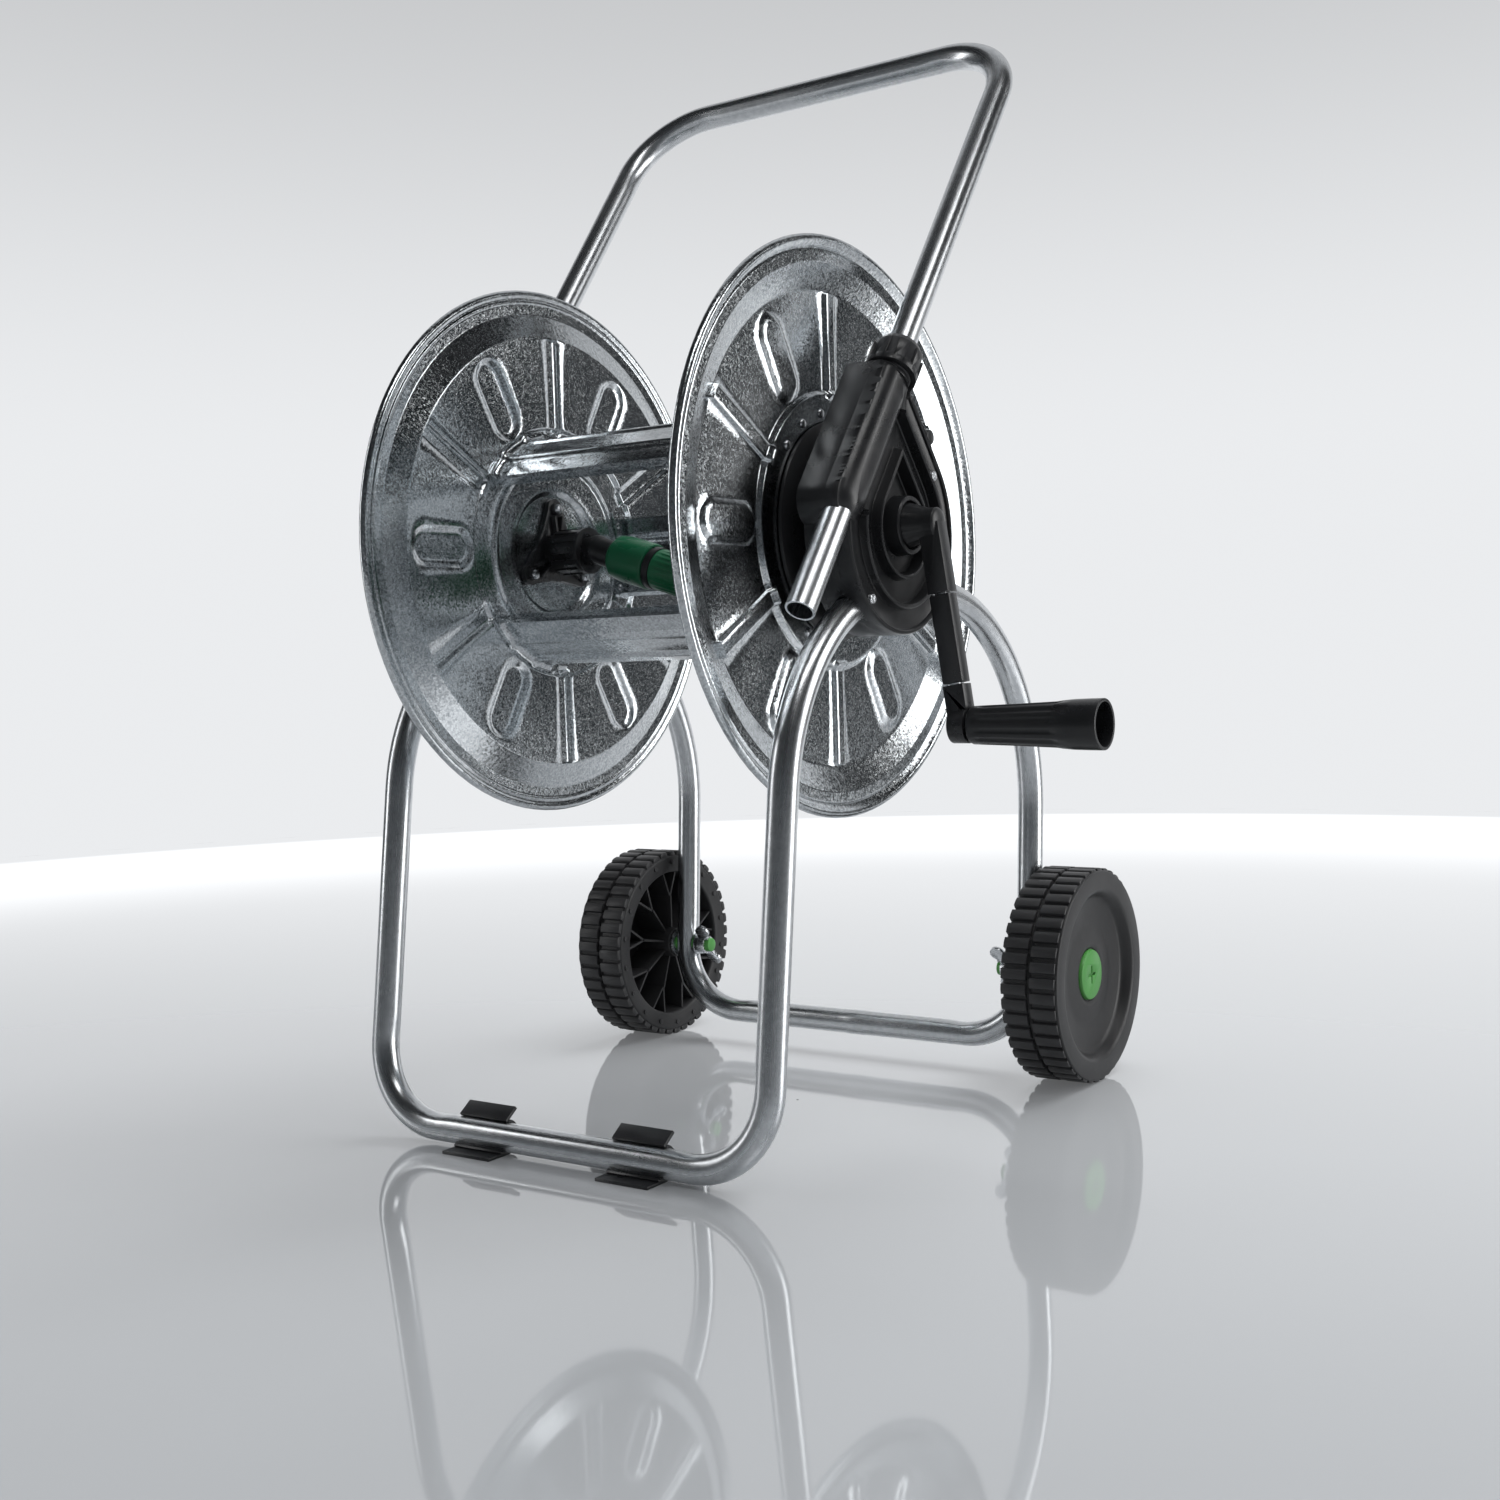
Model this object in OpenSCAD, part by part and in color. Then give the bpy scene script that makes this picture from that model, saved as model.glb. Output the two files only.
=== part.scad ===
// Garden hose reel cart: bent tube frame, crank-driven sheet-metal reel,
// telescoping handle and two wheels. Millimetres, +Z up, ground at z = 0.
// X runs along the reel's axle (crank at +X), wheels are at +Y, foot at -Y.

/* [Overall] */
// diameter of the two reel discs
reel_d = 400; // [320:10:480]
// width of the reel, rim plane to rim plane
reel_w = 265.5; // [220:0.5:320]
// height of the reel's axle above the ground
axle_h = 423; // [350:1:510]
// height of the handle's top bar centre
handle_h = 801; // [700:1:960]

/* [Tube] */
// outside diameter of the frame and handle tube
tube_d = 20; // [16:0.5:24]
// tube wall
tube_t = 1.5; // [1:0.1:3]

/* [Frame] */
// drop from axle to the top of the side arch (tube centre)
arch_drop = 43; // [38:1:52]
// bend radius of the arch above the front leg
arch_rf = 150; // [120:1:180]
// bend radius of the arch above the rear leg
arch_rr = 160; // [130:1:190]
// straight run on top of the arch
arch_flat = 50; // [30:1:70]
// lean of the front leg from vertical
lean_f = 7.5; // [5:0.5:9]
// lean of the rear leg from vertical
lean_r = 4; // [2:0.5:5]
// bend radius of the foot and rear corners
corner_r = 55; // [40:1:70]
// height of the rear cross tube's centre
rear_z = 28; // [22:1:40]
// wall of the foot clips under the tube
clip_t = 2.3; // [1.8:0.1:3.5]
// width of a foot clip
clip_w = 43; // [30:1:52]
// distance of each foot clip from the middle
clip_x = 68; // [55:1:80]

/* [Handle] */
// lean of the handle tubes from vertical
lean_h = 37.1; // [33:0.1:41]
// distance of the handle tube's line from the axle
handle_off = 63; // [58:1:70]
// tube end below the point nearest the axle
handle_stub = 121; // [105:1:140]
// bend radius of the handle's corners
handle_r = 60; // [45:1:75]

/* [Housing] */
// radius of the round part of the side housing
house_r = 71; // [66:1:76]
// half width of the handle channel
chan_hw = 17.3; // [15.5:0.1:20]
// length of the channel above the point nearest the axle
chan_top = 77.3; // [70:0.1:90]
// moulded wall
wall = 2.6; // [2:0.1:4]
// running clearance on the radius of turning fits
run = 0.06; // [0.02:0.01:0.1]

/* [Reel] */
// sheet thickness of the discs
sheet = 1; // [0.8:0.1:1.6]
// depth of the pressed ribs and pads
press = 3; // [2:0.1:4]
// depth of the dish between rim and panel
dish = 7; // [5:0.1:10]
// radius of the drum's channels
drum_r = 87; // [80:1:100]
// angle covered by one drum channel
drum_a = 44; // [34:1:50]

/* [Wheels] */
// wheel diameter over the tread
wheel_d = 167; // [140:1:200]
// wheel width
wheel_w = 46.6; // [38:0.1:56]
// lugs in one tread row
lugs = 44; // [32:1:52]
// depth of the tread
tread = 3; // [2:0.1:5]
// radius of the wheel bolt's shank
bolt_r = 6; // [5:0.1:8]

/* [Crank] */
// axle to grip distance
crank_l = 136; // [115:1:150]
// outward lean of the crank arm
crank_lean = 8.4; // [5:0.1:11]
// grip length
grip_l = 95; // [80:1:120]
// largest grip diameter
grip_d = 33.6; // [28:0.1:40]

/* [Water path] */
// diameter of the hose connector
conn_d = 35; // [30:0.5:40]
// downward tilt of the hose connector
conn_tilt = 17; // [10:1:22]
// radius of the water bore
water_r = 6; // [5:0.1:7]

/* [Hidden] */
$fn = 96;
rt = tube_d / 2;
ri = rt - tube_t;
R = reel_d / 2;
// positions across the reel
xr = reel_w / 2;
x0 = xr + 17.25;
xf = x0 + 8 + rt;
xh = xf + 6.5;
x1 = xh + rt + 3.5;
// side arch
za = axle_h - arch_drop;
yfc = 10;
yrc = yfc + arch_flat;
zfc = za - arch_rf;
zrc = za - arch_rr;
foot_z = rt + clip_t;
ftan = [yfc - arch_rf * cos(lean_f), zfc + arch_rf * sin(lean_f)];
rtan = [yrc + arch_rr * cos(lean_r), zrc - arch_rr * sin(lean_r)];
len_f = (ftan[1] - foot_z) / cos(lean_f);
len_r = (rtan[1] - rear_z) / cos(lean_r);
foot_y = ftan[0] - len_f * sin(lean_f);
rear_y = rtan[0] - len_r * sin(lean_r);
// wheels
rw = wheel_d / 2;
wheel_y = rear_y + (rw - rear_z) * tan(lean_r);
xw0 = xf + rt + 4;
xw1 = xw0 + wheel_w;
// handle
handle_top = (handle_h - axle_h - handle_off * sin(lean_h)) / cos(lean_h);
// housing outline: centre of the round part and its rear tangent direction
hc = [-6, -3];
ra = 39.3;
seam = xh - 3;
// inner bore of the side bearings
jr = 22;
x_boss = x0 - 6;
// disc levels, measured outwards from the reel's middle
xp = xr - dish - 1.75;
xledge = xp + press;
xhub = xp + 2;
xwell = xp + 7;
panel_r = R * 0.822;
ledge_r = drum_r + 8;
ridge_r = drum_r - 15;
well_r = 46;
rim_r = 3;
// crank
xk = x1 + 15;
xg = xk + crank_l * tan(crank_lean) + 6.5;
grip_z = -crank_l;
// water path
xn = xwell - 8.5;
xe = xn - 29;
// the part's own origin: middle of its box on the ground
box_x0 = -xw1;
box_x1 = xg + grip_l;
box_y0 = foot_y - rt - 9.7;
box_y1 = wheel_y + rw;
cx = (box_x0 + box_x1) / 2;
cy = (box_y0 + box_y1) / 2;

// sub-part to build, or all

// ---- helpers ----
// everything is modelled about the axle's foot point, then moved to the box origin
module place() translate([-cx, -cy, 0]) children();
module axle() translate([0, 0, axle_h]) children();
// cylinder along X from a to b
module xcyl(r, a, b) translate([a, 0, 0]) rotate([0, 90, 0]) cylinder(r = r, h = b - a);
module xcone(r1, r2, a, b) translate([a, 0, 0]) rotate([0, 90, 0]) cylinder(r1 = r1, r2 = r2, h = b - a);
// revolve a profile given as (radius, x)
module xrev() rotate([0, 90, 0]) rotate_extrude() children();
// push a drawing in the side view (y, z) along X from a to b
module side(a, b) translate([a, 0, 0]) rotate([90, 0, 90]) linear_extrude(b - a) children();
// bend of a round bar in the XY plane between two angles
module bend(rad, a0, a1, r)
    rotate([0, 0, a0]) rotate_extrude(angle = a1 - a0) translate([rad, 0]) circle(r);
module both() {
    children();
    mirror([1, 0, 0]) children();
}
// U of bar in the XZ plane, open upwards: half width, leg height, corner radius
module bar_u(hw, h, rad, r) {
    both() {
        translate([hw, 0, rad]) cylinder(r = r, h = h - rad);
        translate([hw - rad, 0, rad]) rotate([90, 0, 0]) bend(rad, -90, 0, r);
    }
    xcyl(r, rad - hw, hw - rad);
}
// the handle's own frame: z along the tube, y square to it
module lean() axle() rotate([-lean_h, 0, 0]) translate([0, -handle_off, 0]) children();

// ---- frame ----
module side_arch(r) {
    translate([xf, yfc, zfc]) rotate([90, 0, 90]) bend(arch_rf, 90, 180 - lean_f, r);
    translate([xf, yrc, zrc]) rotate([90, 0, 90]) bend(arch_rr, -lean_r, 90, r);
    translate([xf, yfc - 0.3, za]) rotate([-90, 0, 0]) cylinder(r = r - 0.03, h = arch_flat + 0.6);
}
module frame_path(r) {
    both() side_arch(r);
    // the legs are a hair slimmer, so they enter the arch's ends cleanly
    translate([0, foot_y, foot_z]) rotate([-lean_f, 0, 0]) bar_u(xf, len_f + 0.3, corner_r, r - 0.03);
    translate([0, rear_y, rear_z]) rotate([-lean_r, 0, 0]) bar_u(xf, len_r + 0.3, corner_r, r - 0.03);
}
module frame_tube() color("silver") place() difference() {
    frame_path(rt);
    frame_path(ri);
    // the tube's two ends meet in the rear cross tube
    translate([0, rear_y, rear_z]) rotate([0, 90, 0]) difference() {
        cylinder(r = rt + 1, h = 1.6, center = true);
        cylinder(r = rt - 0.7, h = 4, center = true);
    }
    // holes for the wheel bolts
    both() translate([xf, wheel_y, rw]) xcyl(bolt_r + 0.15, -rt - 1, rt + 1);
    both() axle() for (p = screw_at) translate([0, p[0], p[1]]) xcyl(2.3, x0, x1);
}
module foot_clips() color("black") place() both()
    translate([0, foot_y, foot_z]) side(clip_x - clip_w / 2, clip_x + clip_w / 2) {
        difference() {
            circle(rt + clip_t);
            circle(rt + 0.05);
            polygon([[0, 0], [8, 40], [-40, 40], [-40, -16], [-14, -16]]);
        }
        translate([0.5, rt + 0.1]) rotate(35) square([13, clip_t]);
        translate([-rt - 9.7, -rt - clip_t]) square([rt + 9.7, clip_t - 0.1]);
    }

// ---- side housings ----
// a point given square to and along the handle, in side view about the axle
function hn(n, s) = [n * cos(lean_h) + s * sin(lean_h), s * cos(lean_h) - n * sin(lean_h)];
module chan_2d(t) rotate(-lean_h) {
    translate([-handle_off - chan_hw + t, -30]) square([2 * (chan_hw - t), 30 + chan_top - t]);
    translate([-handle_off, -30]) circle(chan_hw - t);
}
module house_2d(t) {
    translate(hc) circle(house_r - t);
    polygon([hc, hc + (house_r - t - 0.15) * [cos(ra), sin(ra)],
             hn(chan_hw - handle_off - t, chan_top - t), hn(-handle_off, 0)]);
    chan_2d(t);
}
// teardrop standing on its round end
module drop_2d(r) translate(hc) {
    m = (180 - lean_h + ra) / 2;
    circle(r);
    polygon([[0, 0], (r - 0.15) * [cos(ra), sin(ra)],
             r / cos((180 - lean_h - ra) / 2) * [cos(m), sin(m)],
             (r - 0.15) * [-cos(lean_h), sin(lean_h)]]);
}
module neck() lean() translate([xh, 0, chan_top - 1]) cylinder(r = rt + 5, h = 15);
module house_bores() {
    lean() translate([xh, 0, -120]) cylinder(r = rt + run, h = 260);
    lean() translate([xh, 0, chan_top - 12]) cylinder(r = rt + 2.5, h = 60);
    side_arch(rt + 0.3);
    axle() for (p = screw_at) translate([0, p[0], p[1]]) xcyl(2.1, x0 - 1, x1 + 1);
}
screw_at = [[-49.4, -50.4], [40, -46], [39, 36]];
module housing_inner() {
    difference() {
        union() {
            axle() side(x0, seam) house_2d(0);
            axle() xcyl(jr + 4, x_boss, x0 + 1);
            intersection() {
                neck();
                translate([seam - 60, -200, 0]) cube([60, 400, 900]);
            }
        }
        difference() {
            axle() side(x0 + wall, seam + 1) house_2d(wall);
            axle() side(x0, seam + 2) chan_2d(0);
            axle() xcyl(jr + 4, x0, x0 + 12);
            axle() for (p = screw_at) translate([0, p[0], p[1]]) xcyl(5, x0, seam + 2);
            side_arch(rt + 3);
        }
        axle() xcyl(jr + run, x_boss - 1, x0 + 12);
        axle() xcyl(jr + 2, x0 + 12, seam + 1);
        house_bores();
    }
}
module housing_outer(hole) {
    difference() {
        union() {
            axle() side(seam, x1) house_2d(0);
            intersection() {
                neck();
                translate([seam, -200, 0]) cube([60, 400, 900]);
            }
        }
        difference() {
            axle() side(seam - 1, x1 - 8 - wall) house_2d(wall);
            axle() side(seam - 2, x1) chan_2d(0);
            axle() for (p = screw_at) translate([0, p[0], p[1]]) xcyl(5, seam - 2, x1);
            axle() xcyl(hole + 4, seam + 6, x1);
            side_arch(rt + 3);
        }
        // stepped teardrop recesses of the outer face
        axle() side(x1 - 5, x1 + 1) difference() {
            house_2d(2.2);
            drop_2d(53);
            chan_2d(0);
        }
        axle() side(x1 - 8, x1 + 1) difference() {
            drop_2d(50.8);
            drop_2d(33);
            chan_2d(0);
        }
        axle() side(x1 - 8, x1 + 1) difference() {
            drop_2d(30.8);
            circle(hole + 3.4);
        }
        axle() xcyl(hole + run, seam - 1, x1 + 1);
        house_bores();
    }
}
module housing_inner_right() color("dimgray") place() housing_inner();
module housing_outer_right() color("dimgray") place() housing_outer(16.5);
module housing_inner_left() color("dimgray") place() mirror([1, 0, 0]) housing_inner();
module housing_outer_left() color("dimgray") place() mirror([1, 0, 0]) housing_outer(13);
module housing_screws() color("lightgray") place() both() axle()
    for (p = screw_at) translate([0, p[0], p[1]]) {
        xcyl(2, x0 + 1, x1 - 4.8);
        difference() {
            xcone(4, 3.2, x1 - 4.9, x1 - 2.8);
            translate([x1 - 3.4, -0.5, -2.4]) cube([2, 1, 4.8]);
            translate([x1 - 3.4, -2.4, -0.5]) cube([2, 4.8, 1]);
        }
    }
module clamp_sleeves() color("gray") place() both()
    lean() translate([xh, 0, chan_top - 11.8]) difference() {
    union() {
        cylinder(r = rt + 2.3, h = 28);
        translate([0, 0, 26]) cylinder(r = rt + 4.2, h = 2);
    }
    translate([0, 0, -1]) cylinder(r = rt + run, h = 40);
    translate([-1, 0, -1]) cube([2, 40, 40]);
}
module collar_nut() lean() translate([xh, 0, chan_top + 1.5]) difference() {
    union() {
        cylinder(r = rt + 8.6, h = 5);
        translate([0, 0, 5]) cylinder(r = rt + 7, h = 16);
        for (a = [0:45:359]) rotate(a) translate([rt + 4, -4, 4]) cube([4.4, 8, 15]);
        translate([0, 0, 21]) cylinder(r1 = rt + 6.6, r2 = rt + 5, h = 4);
    }
    translate([0, 0, -1]) cylinder(r = rt + 5 + run, h = 18.2);
    translate([0, 0, 10]) cylinder(r = rt + 0.6, h = 20);
}
module collar_nut_right() color("black") place() collar_nut();
module collar_nut_left() color("black") place() mirror([1, 0, 0]) collar_nut();

// ---- handle ----
module handle_path(r, e)
    translate([0, 0, handle_top]) mirror([0, 0, 1]) bar_u(xh, handle_top + handle_stub + e, handle_r, r);
module handle_tube() color("silver") place() lean() difference() {
    handle_path(rt, 0);
    handle_path(ri, 1);
}

// ---- reel ----
// pressed sheet, inner surface as (radius, distance from the reel's middle)
disc_in = [[13, xwell], [well_r - 4, xwell], [well_r, xhub], [ridge_r - 3, xhub], [ridge_r, xhub - 1.5],
           [ridge_r + 3, xledge], [ledge_r - 2, xledge], [ledge_r + 2, xp], [panel_r, xp],
           [panel_r + 5, xp + 0.6], [panel_r + 12, xp + 2.8], [panel_r + 19, xp + 5.6], [R - 9, xp + dish],
           [R - 2.5, xp + dish]];
module pad_2d(d) {
    for (i = [0:5]) {
        rotate(30 + 60 * i) translate([ledge_r - 1.5, -6.8 + d])
            square([panel_r - ledge_r + 0.5 - d, 13.6 - 2 * d]);
        rotate(60 * i) translate([ledge_r + 6, 0]) {
            translate([15, -15 + d]) square([panel_r - ledge_r - 39, 30 - 2 * d]);
            translate([15, 0]) circle(15 - d);
            translate([panel_r - ledge_r - 24, 0]) circle(15 - d);
        }
    }
}
module disc(hole) difference() {
    union() {
        xrev() polygon([for (p = disc_in) [p[0], p[1]],
                        for (i = [len(disc_in) - 1:-1:0]) [disc_in[i][0], disc_in[i][1] + sheet]]);
        xrev() translate([R - rim_r, xp + dish + 0.5]) circle(rim_r, $fn = 24);
        side(xp + 0.2, xledge + sheet) pad_2d(0);
    }
    side(xp - 3, xledge) pad_2d(sheet);
    for (a = rivet_at) rotate([a, 0, 0]) translate([0, drum_r - 6, 0]) xcyl(2.1, xp, xp + 9);
    for (a = [90, 210, 330]) rotate([a, 0, 0]) translate([0, 34, 0]) xcyl(2.1, xp, xp + 12);
    if (hole) rotate([30, 0, 0]) translate([0, panel_r - 12, 0]) xcyl(3.1, xp, xp + 9);
}
rivet_at = [for (c = [0, 120, 240]) for (k = [-18, 0, 18]) c + k];
module disc_right() color("lightgray") place() axle() disc(true);
module disc_left() color("lightgray") place() axle() mirror([1, 0, 0]) disc(false);
module sector_2d(r0, r1, a) intersection() {
    difference() {
        circle(r1);
        circle(r0);
    }
    polygon([[0, 0], 200 * [cos(a), -sin(a)], [300, 0], 200 * [cos(a), sin(a)]]);
}
module drum_channel(c) rotate([c, 0, 0]) difference() {
    union() {
        side(-xledge + 1.3, xledge - 1.3) {
            sector_2d(drum_r - 1.2, drum_r, drum_a / 2);
            for (s = [-9, 9]) rotate(s) translate([drum_r - 0.6, 0]) circle(2.4, $fn = 24);
            for (s = [-1, 1]) rotate(s * (drum_a / 2 - 0.4))
                translate([drum_r - 9, -0.6]) square([8.6, 1.2]);
        }
        both() side(xledge - 1.4, xledge - 0.15) sector_2d(ridge_r + 4, ledge_r - 3, 27);
    }
    for (k = [-18, 0, 18]) rotate([k, 0, 0]) translate([0, drum_r - 6, 0]) xcyl(2.1, -xr, xr);
}
module drum_channel_front() color("lightgray") place() axle() drum_channel(120);
module drum_channel_low() color("lightgray") place() axle() drum_channel(240);
module drum_channel_rear() color("lightgray") place() axle() drum_channel(0);
module drum_rivets() color("gainsboro") place() axle() both()
    for (a = rivet_at) rotate([a, 0, 0]) translate([0, drum_r - 6, 0]) {
        xcyl(2, xledge - 2.6, xledge + sheet + 1.2);
        xcone(2.4, 3.2, xledge - 2.8, xledge - 1.5);
        xcone(3.4, 2.4, xledge + sheet + 0.1, xledge + sheet + 1.5);
    }
// black bearing flange behind each housing
module bearing_flange(r) difference() {
    a = xhub + sheet + 0.1;
    b = xwell + sheet + 0.3;
    xrev() polygon([[r, b], [well_r + 4, b], [well_r + 4, a], [ridge_r - 4, a], [ridge_r - 4, a + 1.4],
                    [ridge_r + 3, a + 1.4], [ridge_r + 3, a + 4], [ridge_r - 14, b + 5], [jr + 4, b + 5],
                    [jr, b + 7], [jr, x0 + 10], [r, x0 + 10]]);
    for (i = [90, 210, 330]) rotate([i, 0, 0]) translate([0, 34, 0]) xcyl(2.1, xp, b + 4);
}
module bearing_flange_right() color("black") place() axle() difference() {
    bearing_flange(3);
    translate([0, -5.05, -5.05]) cube([400, 10.1, 10.1]);
}
module bearing_flange_left() color("black") place() axle() mirror([1, 0, 0]) bearing_flange(11);
module drive_shaft() color("silver") place() axle() {
    translate([xwell - 1, -5, -5]) cube([xk - xwell - 5.5, 10, 10]);
    xcyl(8, xwell - 3, xwell + 1.2);
}
module disc_plug() color("black") place() axle() rotate([30, 0, 0]) translate([0, panel_r - 12, 0]) {
    xcyl(3, xledge - 1, xledge + sheet + 1);
    xcone(7, 5.5, xledge + sheet + 0.1, xledge + sheet + 5);
    xcone(4.4, 5, xledge - 3, xledge - 0.2);
}

// ---- water path inside the drum (drawn on +X, then mirrored) ----
module water_flange() color("black") place() axle() mirror([1, 0, 0]) difference() {
    union() {
        side(xwell - 4, xwell - 0.1) {
            circle(22);
            for (a = [90, 210, 330]) rotate(a) translate([34, 0]) circle(8);
            for (a = [90, 210, 330]) rotate(a) polygon([[0, -22], [34, -8], [34, 8], [0, 22]]);
        }
        xcyl(14.8, xe + 4.2, xwell);
        for (a = [90, 210, 330]) for (s = [-1, 1]) rotate([a, 0, 0])
            side(xwell - 8.2, xwell - 2) rotate(s * 9) translate([13, -1]) square([16, 2]);
        for (a = [90, 210, 330]) rotate([a, 0, 0]) translate([0, 34, 0]) xcyl(5, xwell - 7, xwell - 2);
    }
    xcyl(water_r, xe, xwell + 1);
    for (a = [90, 210, 330]) rotate([a, 0, 0]) translate([0, 34, 0]) xcyl(2.1, xe, xwell + 1);
}
module flange_screws() color("silver") place() axle() {
    for (a = [90, 210, 330]) rotate([a, 0, 0]) translate([0, 34, 0]) {
        mirror([1, 0, 0]) {
            xcyl(2, xwell - 8, xwell + 4.5);
            xcone(3, 4, xwell - 9.2, xwell - 7.1);
        }
        xcyl(2, xwell - 1, xwell + 4.5);
        xcone(3, 4, xwell - 2.2, xwell - 0.1);
    }
}
module coupling_nut() color("black") place() axle() mirror([1, 0, 0]) difference() {
    union() {
        xcyl(16.6, xe, xn);
        xcyl(17.6, xe, xe + 3);
        for (a = [0:30:359]) rotate([a, 0, 0]) translate([xe, 15, -2]) cube([xn - xe - 3, 2.5, 4]);
    }
    xcyl(14.8 + 0.1, xe + 3, xn + 1);
    xcyl(11.1, xe - 1, xe + 4);
}
module conn() axle() mirror([1, 0, 0]) translate([xe - 8, 0, 0]) rotate([0, -90 - conn_tilt, 0]) children();
module spigot() color("black") place() {
    difference() {
        union() {
            axle() mirror([1, 0, 0]) xcyl(11, xe - 8, xe + 4);
            axle() mirror([1, 0, 0]) xcyl(14.4, xe + 3.1, xe + 4.1);
            axle() mirror([1, 0, 0]) translate([xe - 8, 0, 0]) sphere(11.4);
            conn() cylinder(r = 10.5, h = 18);
            conn() cylinder(r = 7.9, h = 42);
        }
        axle() mirror([1, 0, 0]) xcyl(water_r, xe - 8, xe + 6);
        axle() mirror([1, 0, 0]) translate([xe - 8, 0, 0]) sphere(water_r + 0.4);
        conn() cylinder(r = water_r, h = 60);
    }
}
cr = conn_d / 2;
module quick_connector() color("green") place() conn() rotate_extrude() polygon([
    [7.9 + run, 18.3], [cr - 4.5, 18.3], [cr - 1, 22], [cr, 30], [cr, 54], [cr - 1, 55], [12.4, 55],
    [12.4, 66], [9.2, 66], [9.2, 58], [5, 58 - 12], [5, 42.6], [7.9 + run, 42.6]]);
module connector_ring() color("black") place() conn() translate([0, 0, 55.2]) difference() {
    cylinder(r = cr - 1.4, h = 6);
    translate([0, 0, -1]) cylinder(r = 12.5, h = 9);
}
module hose_nut() color("green") place() conn() difference() {
    union() {
        translate([0, 0, 61.6]) cylinder(r = cr - 2, h = 4);
        translate([0, 0, 65.6]) cylinder(r1 = cr - 2, r2 = cr - 4, h = 22);
        for (a = [0:15:359]) rotate(a) translate([cr - 5, -0.8, 64]) cube([3, 1.6, 22]);
    }
    translate([0, 0, 60]) cylinder(r = 12.5, h = 8);
    translate([0, 0, 60]) cylinder(r = 10.4, h = 40);
}

// ---- water inlet on the left ----
module inlet_elbow() color("black") place() axle() mirror([1, 0, 0]) difference() {
    union() {
        xcyl(11 - run, x0 - 4, x1 + 14);
        xcyl(13, x1 - 12, x1 + 14);
        xcyl(15.5, x1 + 0.4, x1 + 3.4);
        xcyl(15.5, seam + 3.4, seam + 5.6);
        translate([x1 + 14, 0, 0]) sphere(13.4);
        translate([x1 + 14, 0, -30]) cylinder(r = 11, h = 30);
        translate([x1 + 14, 0, -36]) cylinder(r = 13.2, h = 7, $fn = 6);
        translate([x1 + 14, 0, -56]) cylinder(r = 8, h = 21);
    }
    xcyl(water_r, x0 - 6, x1 + 14);
    translate([x1 + 14, 0, 0]) sphere(water_r + 0.4);
    translate([x1 + 14, 0, -60]) cylinder(r = water_r, h = 60);
    for (x = [x0, x0 + 5]) xrev() translate([10.9, x]) square([3.2, 2.2], center = true);
}
module inlet_seals() color("dimgray") place() axle() mirror([1, 0, 0])
    for (x = [x0, x0 + 5]) xrev() translate([10.1, x]) circle(0.75, $fn = 16);

// ---- crank ----
module arm() axle() translate([xk, 0, 0]) rotate([0, -crank_lean, 0]) children();
module arm_bar(a, b, w, d) translate([-w / 2, -d / 2, -b]) cube([w, d, b - a]);
arm_l = crank_l / cos(crank_lean);
module crank_hub() color("black") place() difference() {
    union() {
        axle() xcyl(16.5, seam + 2, x1 - 6);
        axle() xcone(16.5, 10.6, x1 - 6.1, xk - 2);
        axle() xcyl(10.6, xk - 3, xk + 4);
        axle() translate([xk + 4, 0, 0]) scale([0.3, 1, 1]) sphere(10.6);
        arm() arm_bar(0, 47.5, 15, 13);
    }
    axle() translate([0, -5.05, -5.05]) cube([xk - 5, 10.1, 10.1]);
    arm() arm_bar(18, 60, 8.1, 8.1);
}
module crank_bar() color("silver") place() arm() arm_bar(19, arm_l - 9, 8, 8);
module crank_sleeve() color("black") place() arm() difference() {
    arm_bar(48.7, 108.8, 15, 13);
    arm_bar(40, 120, 8.1, 8.1);
}
module crank_knuckle() color("black") place() difference() {
    union() {
        arm() arm_bar(110, arm_l - 4, 15, 13);
        axle() translate([0, 0, grip_z]) xcyl(12.2, xg - 13, xg - 1);
    }
    arm() arm_bar(100, arm_l - 8.9, 8.1, 8.1);
    axle() translate([0, 0, grip_z]) xcyl(4.05, xg - 9, xg);
}
module grip_axle() color("silver") place() axle() translate([0, 0, grip_z]) {
    xcyl(4, xg - 8.9, xg + grip_l - 28);
    xcyl(7, xg + grip_l - 28.1, xg + grip_l - 24);
}
gr = grip_d / 2;
module crank_grip() color("black") place() axle() translate([0, 0, grip_z]) difference() {
    translate([xg, 0, 0]) xrev() polygon([
        [4 + run, 0.4], [gr - 5, 0.4], [gr - 3.8, 2], [gr - 3.2, 30], [gr - 1.8, 62],
        [gr - 0.8, 68], [gr, grip_l], [gr - 2.4, grip_l], [gr - 3, grip_l - 28.4],
        [4 + run, grip_l - 28.4]]);
    for (a = [0:30:359]) rotate([a, 0, 0]) translate([xg + 8, 0, gr - 3]) rotate([0, -1.9, 0]) xcyl(1.2, 0, 58);
}

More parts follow.
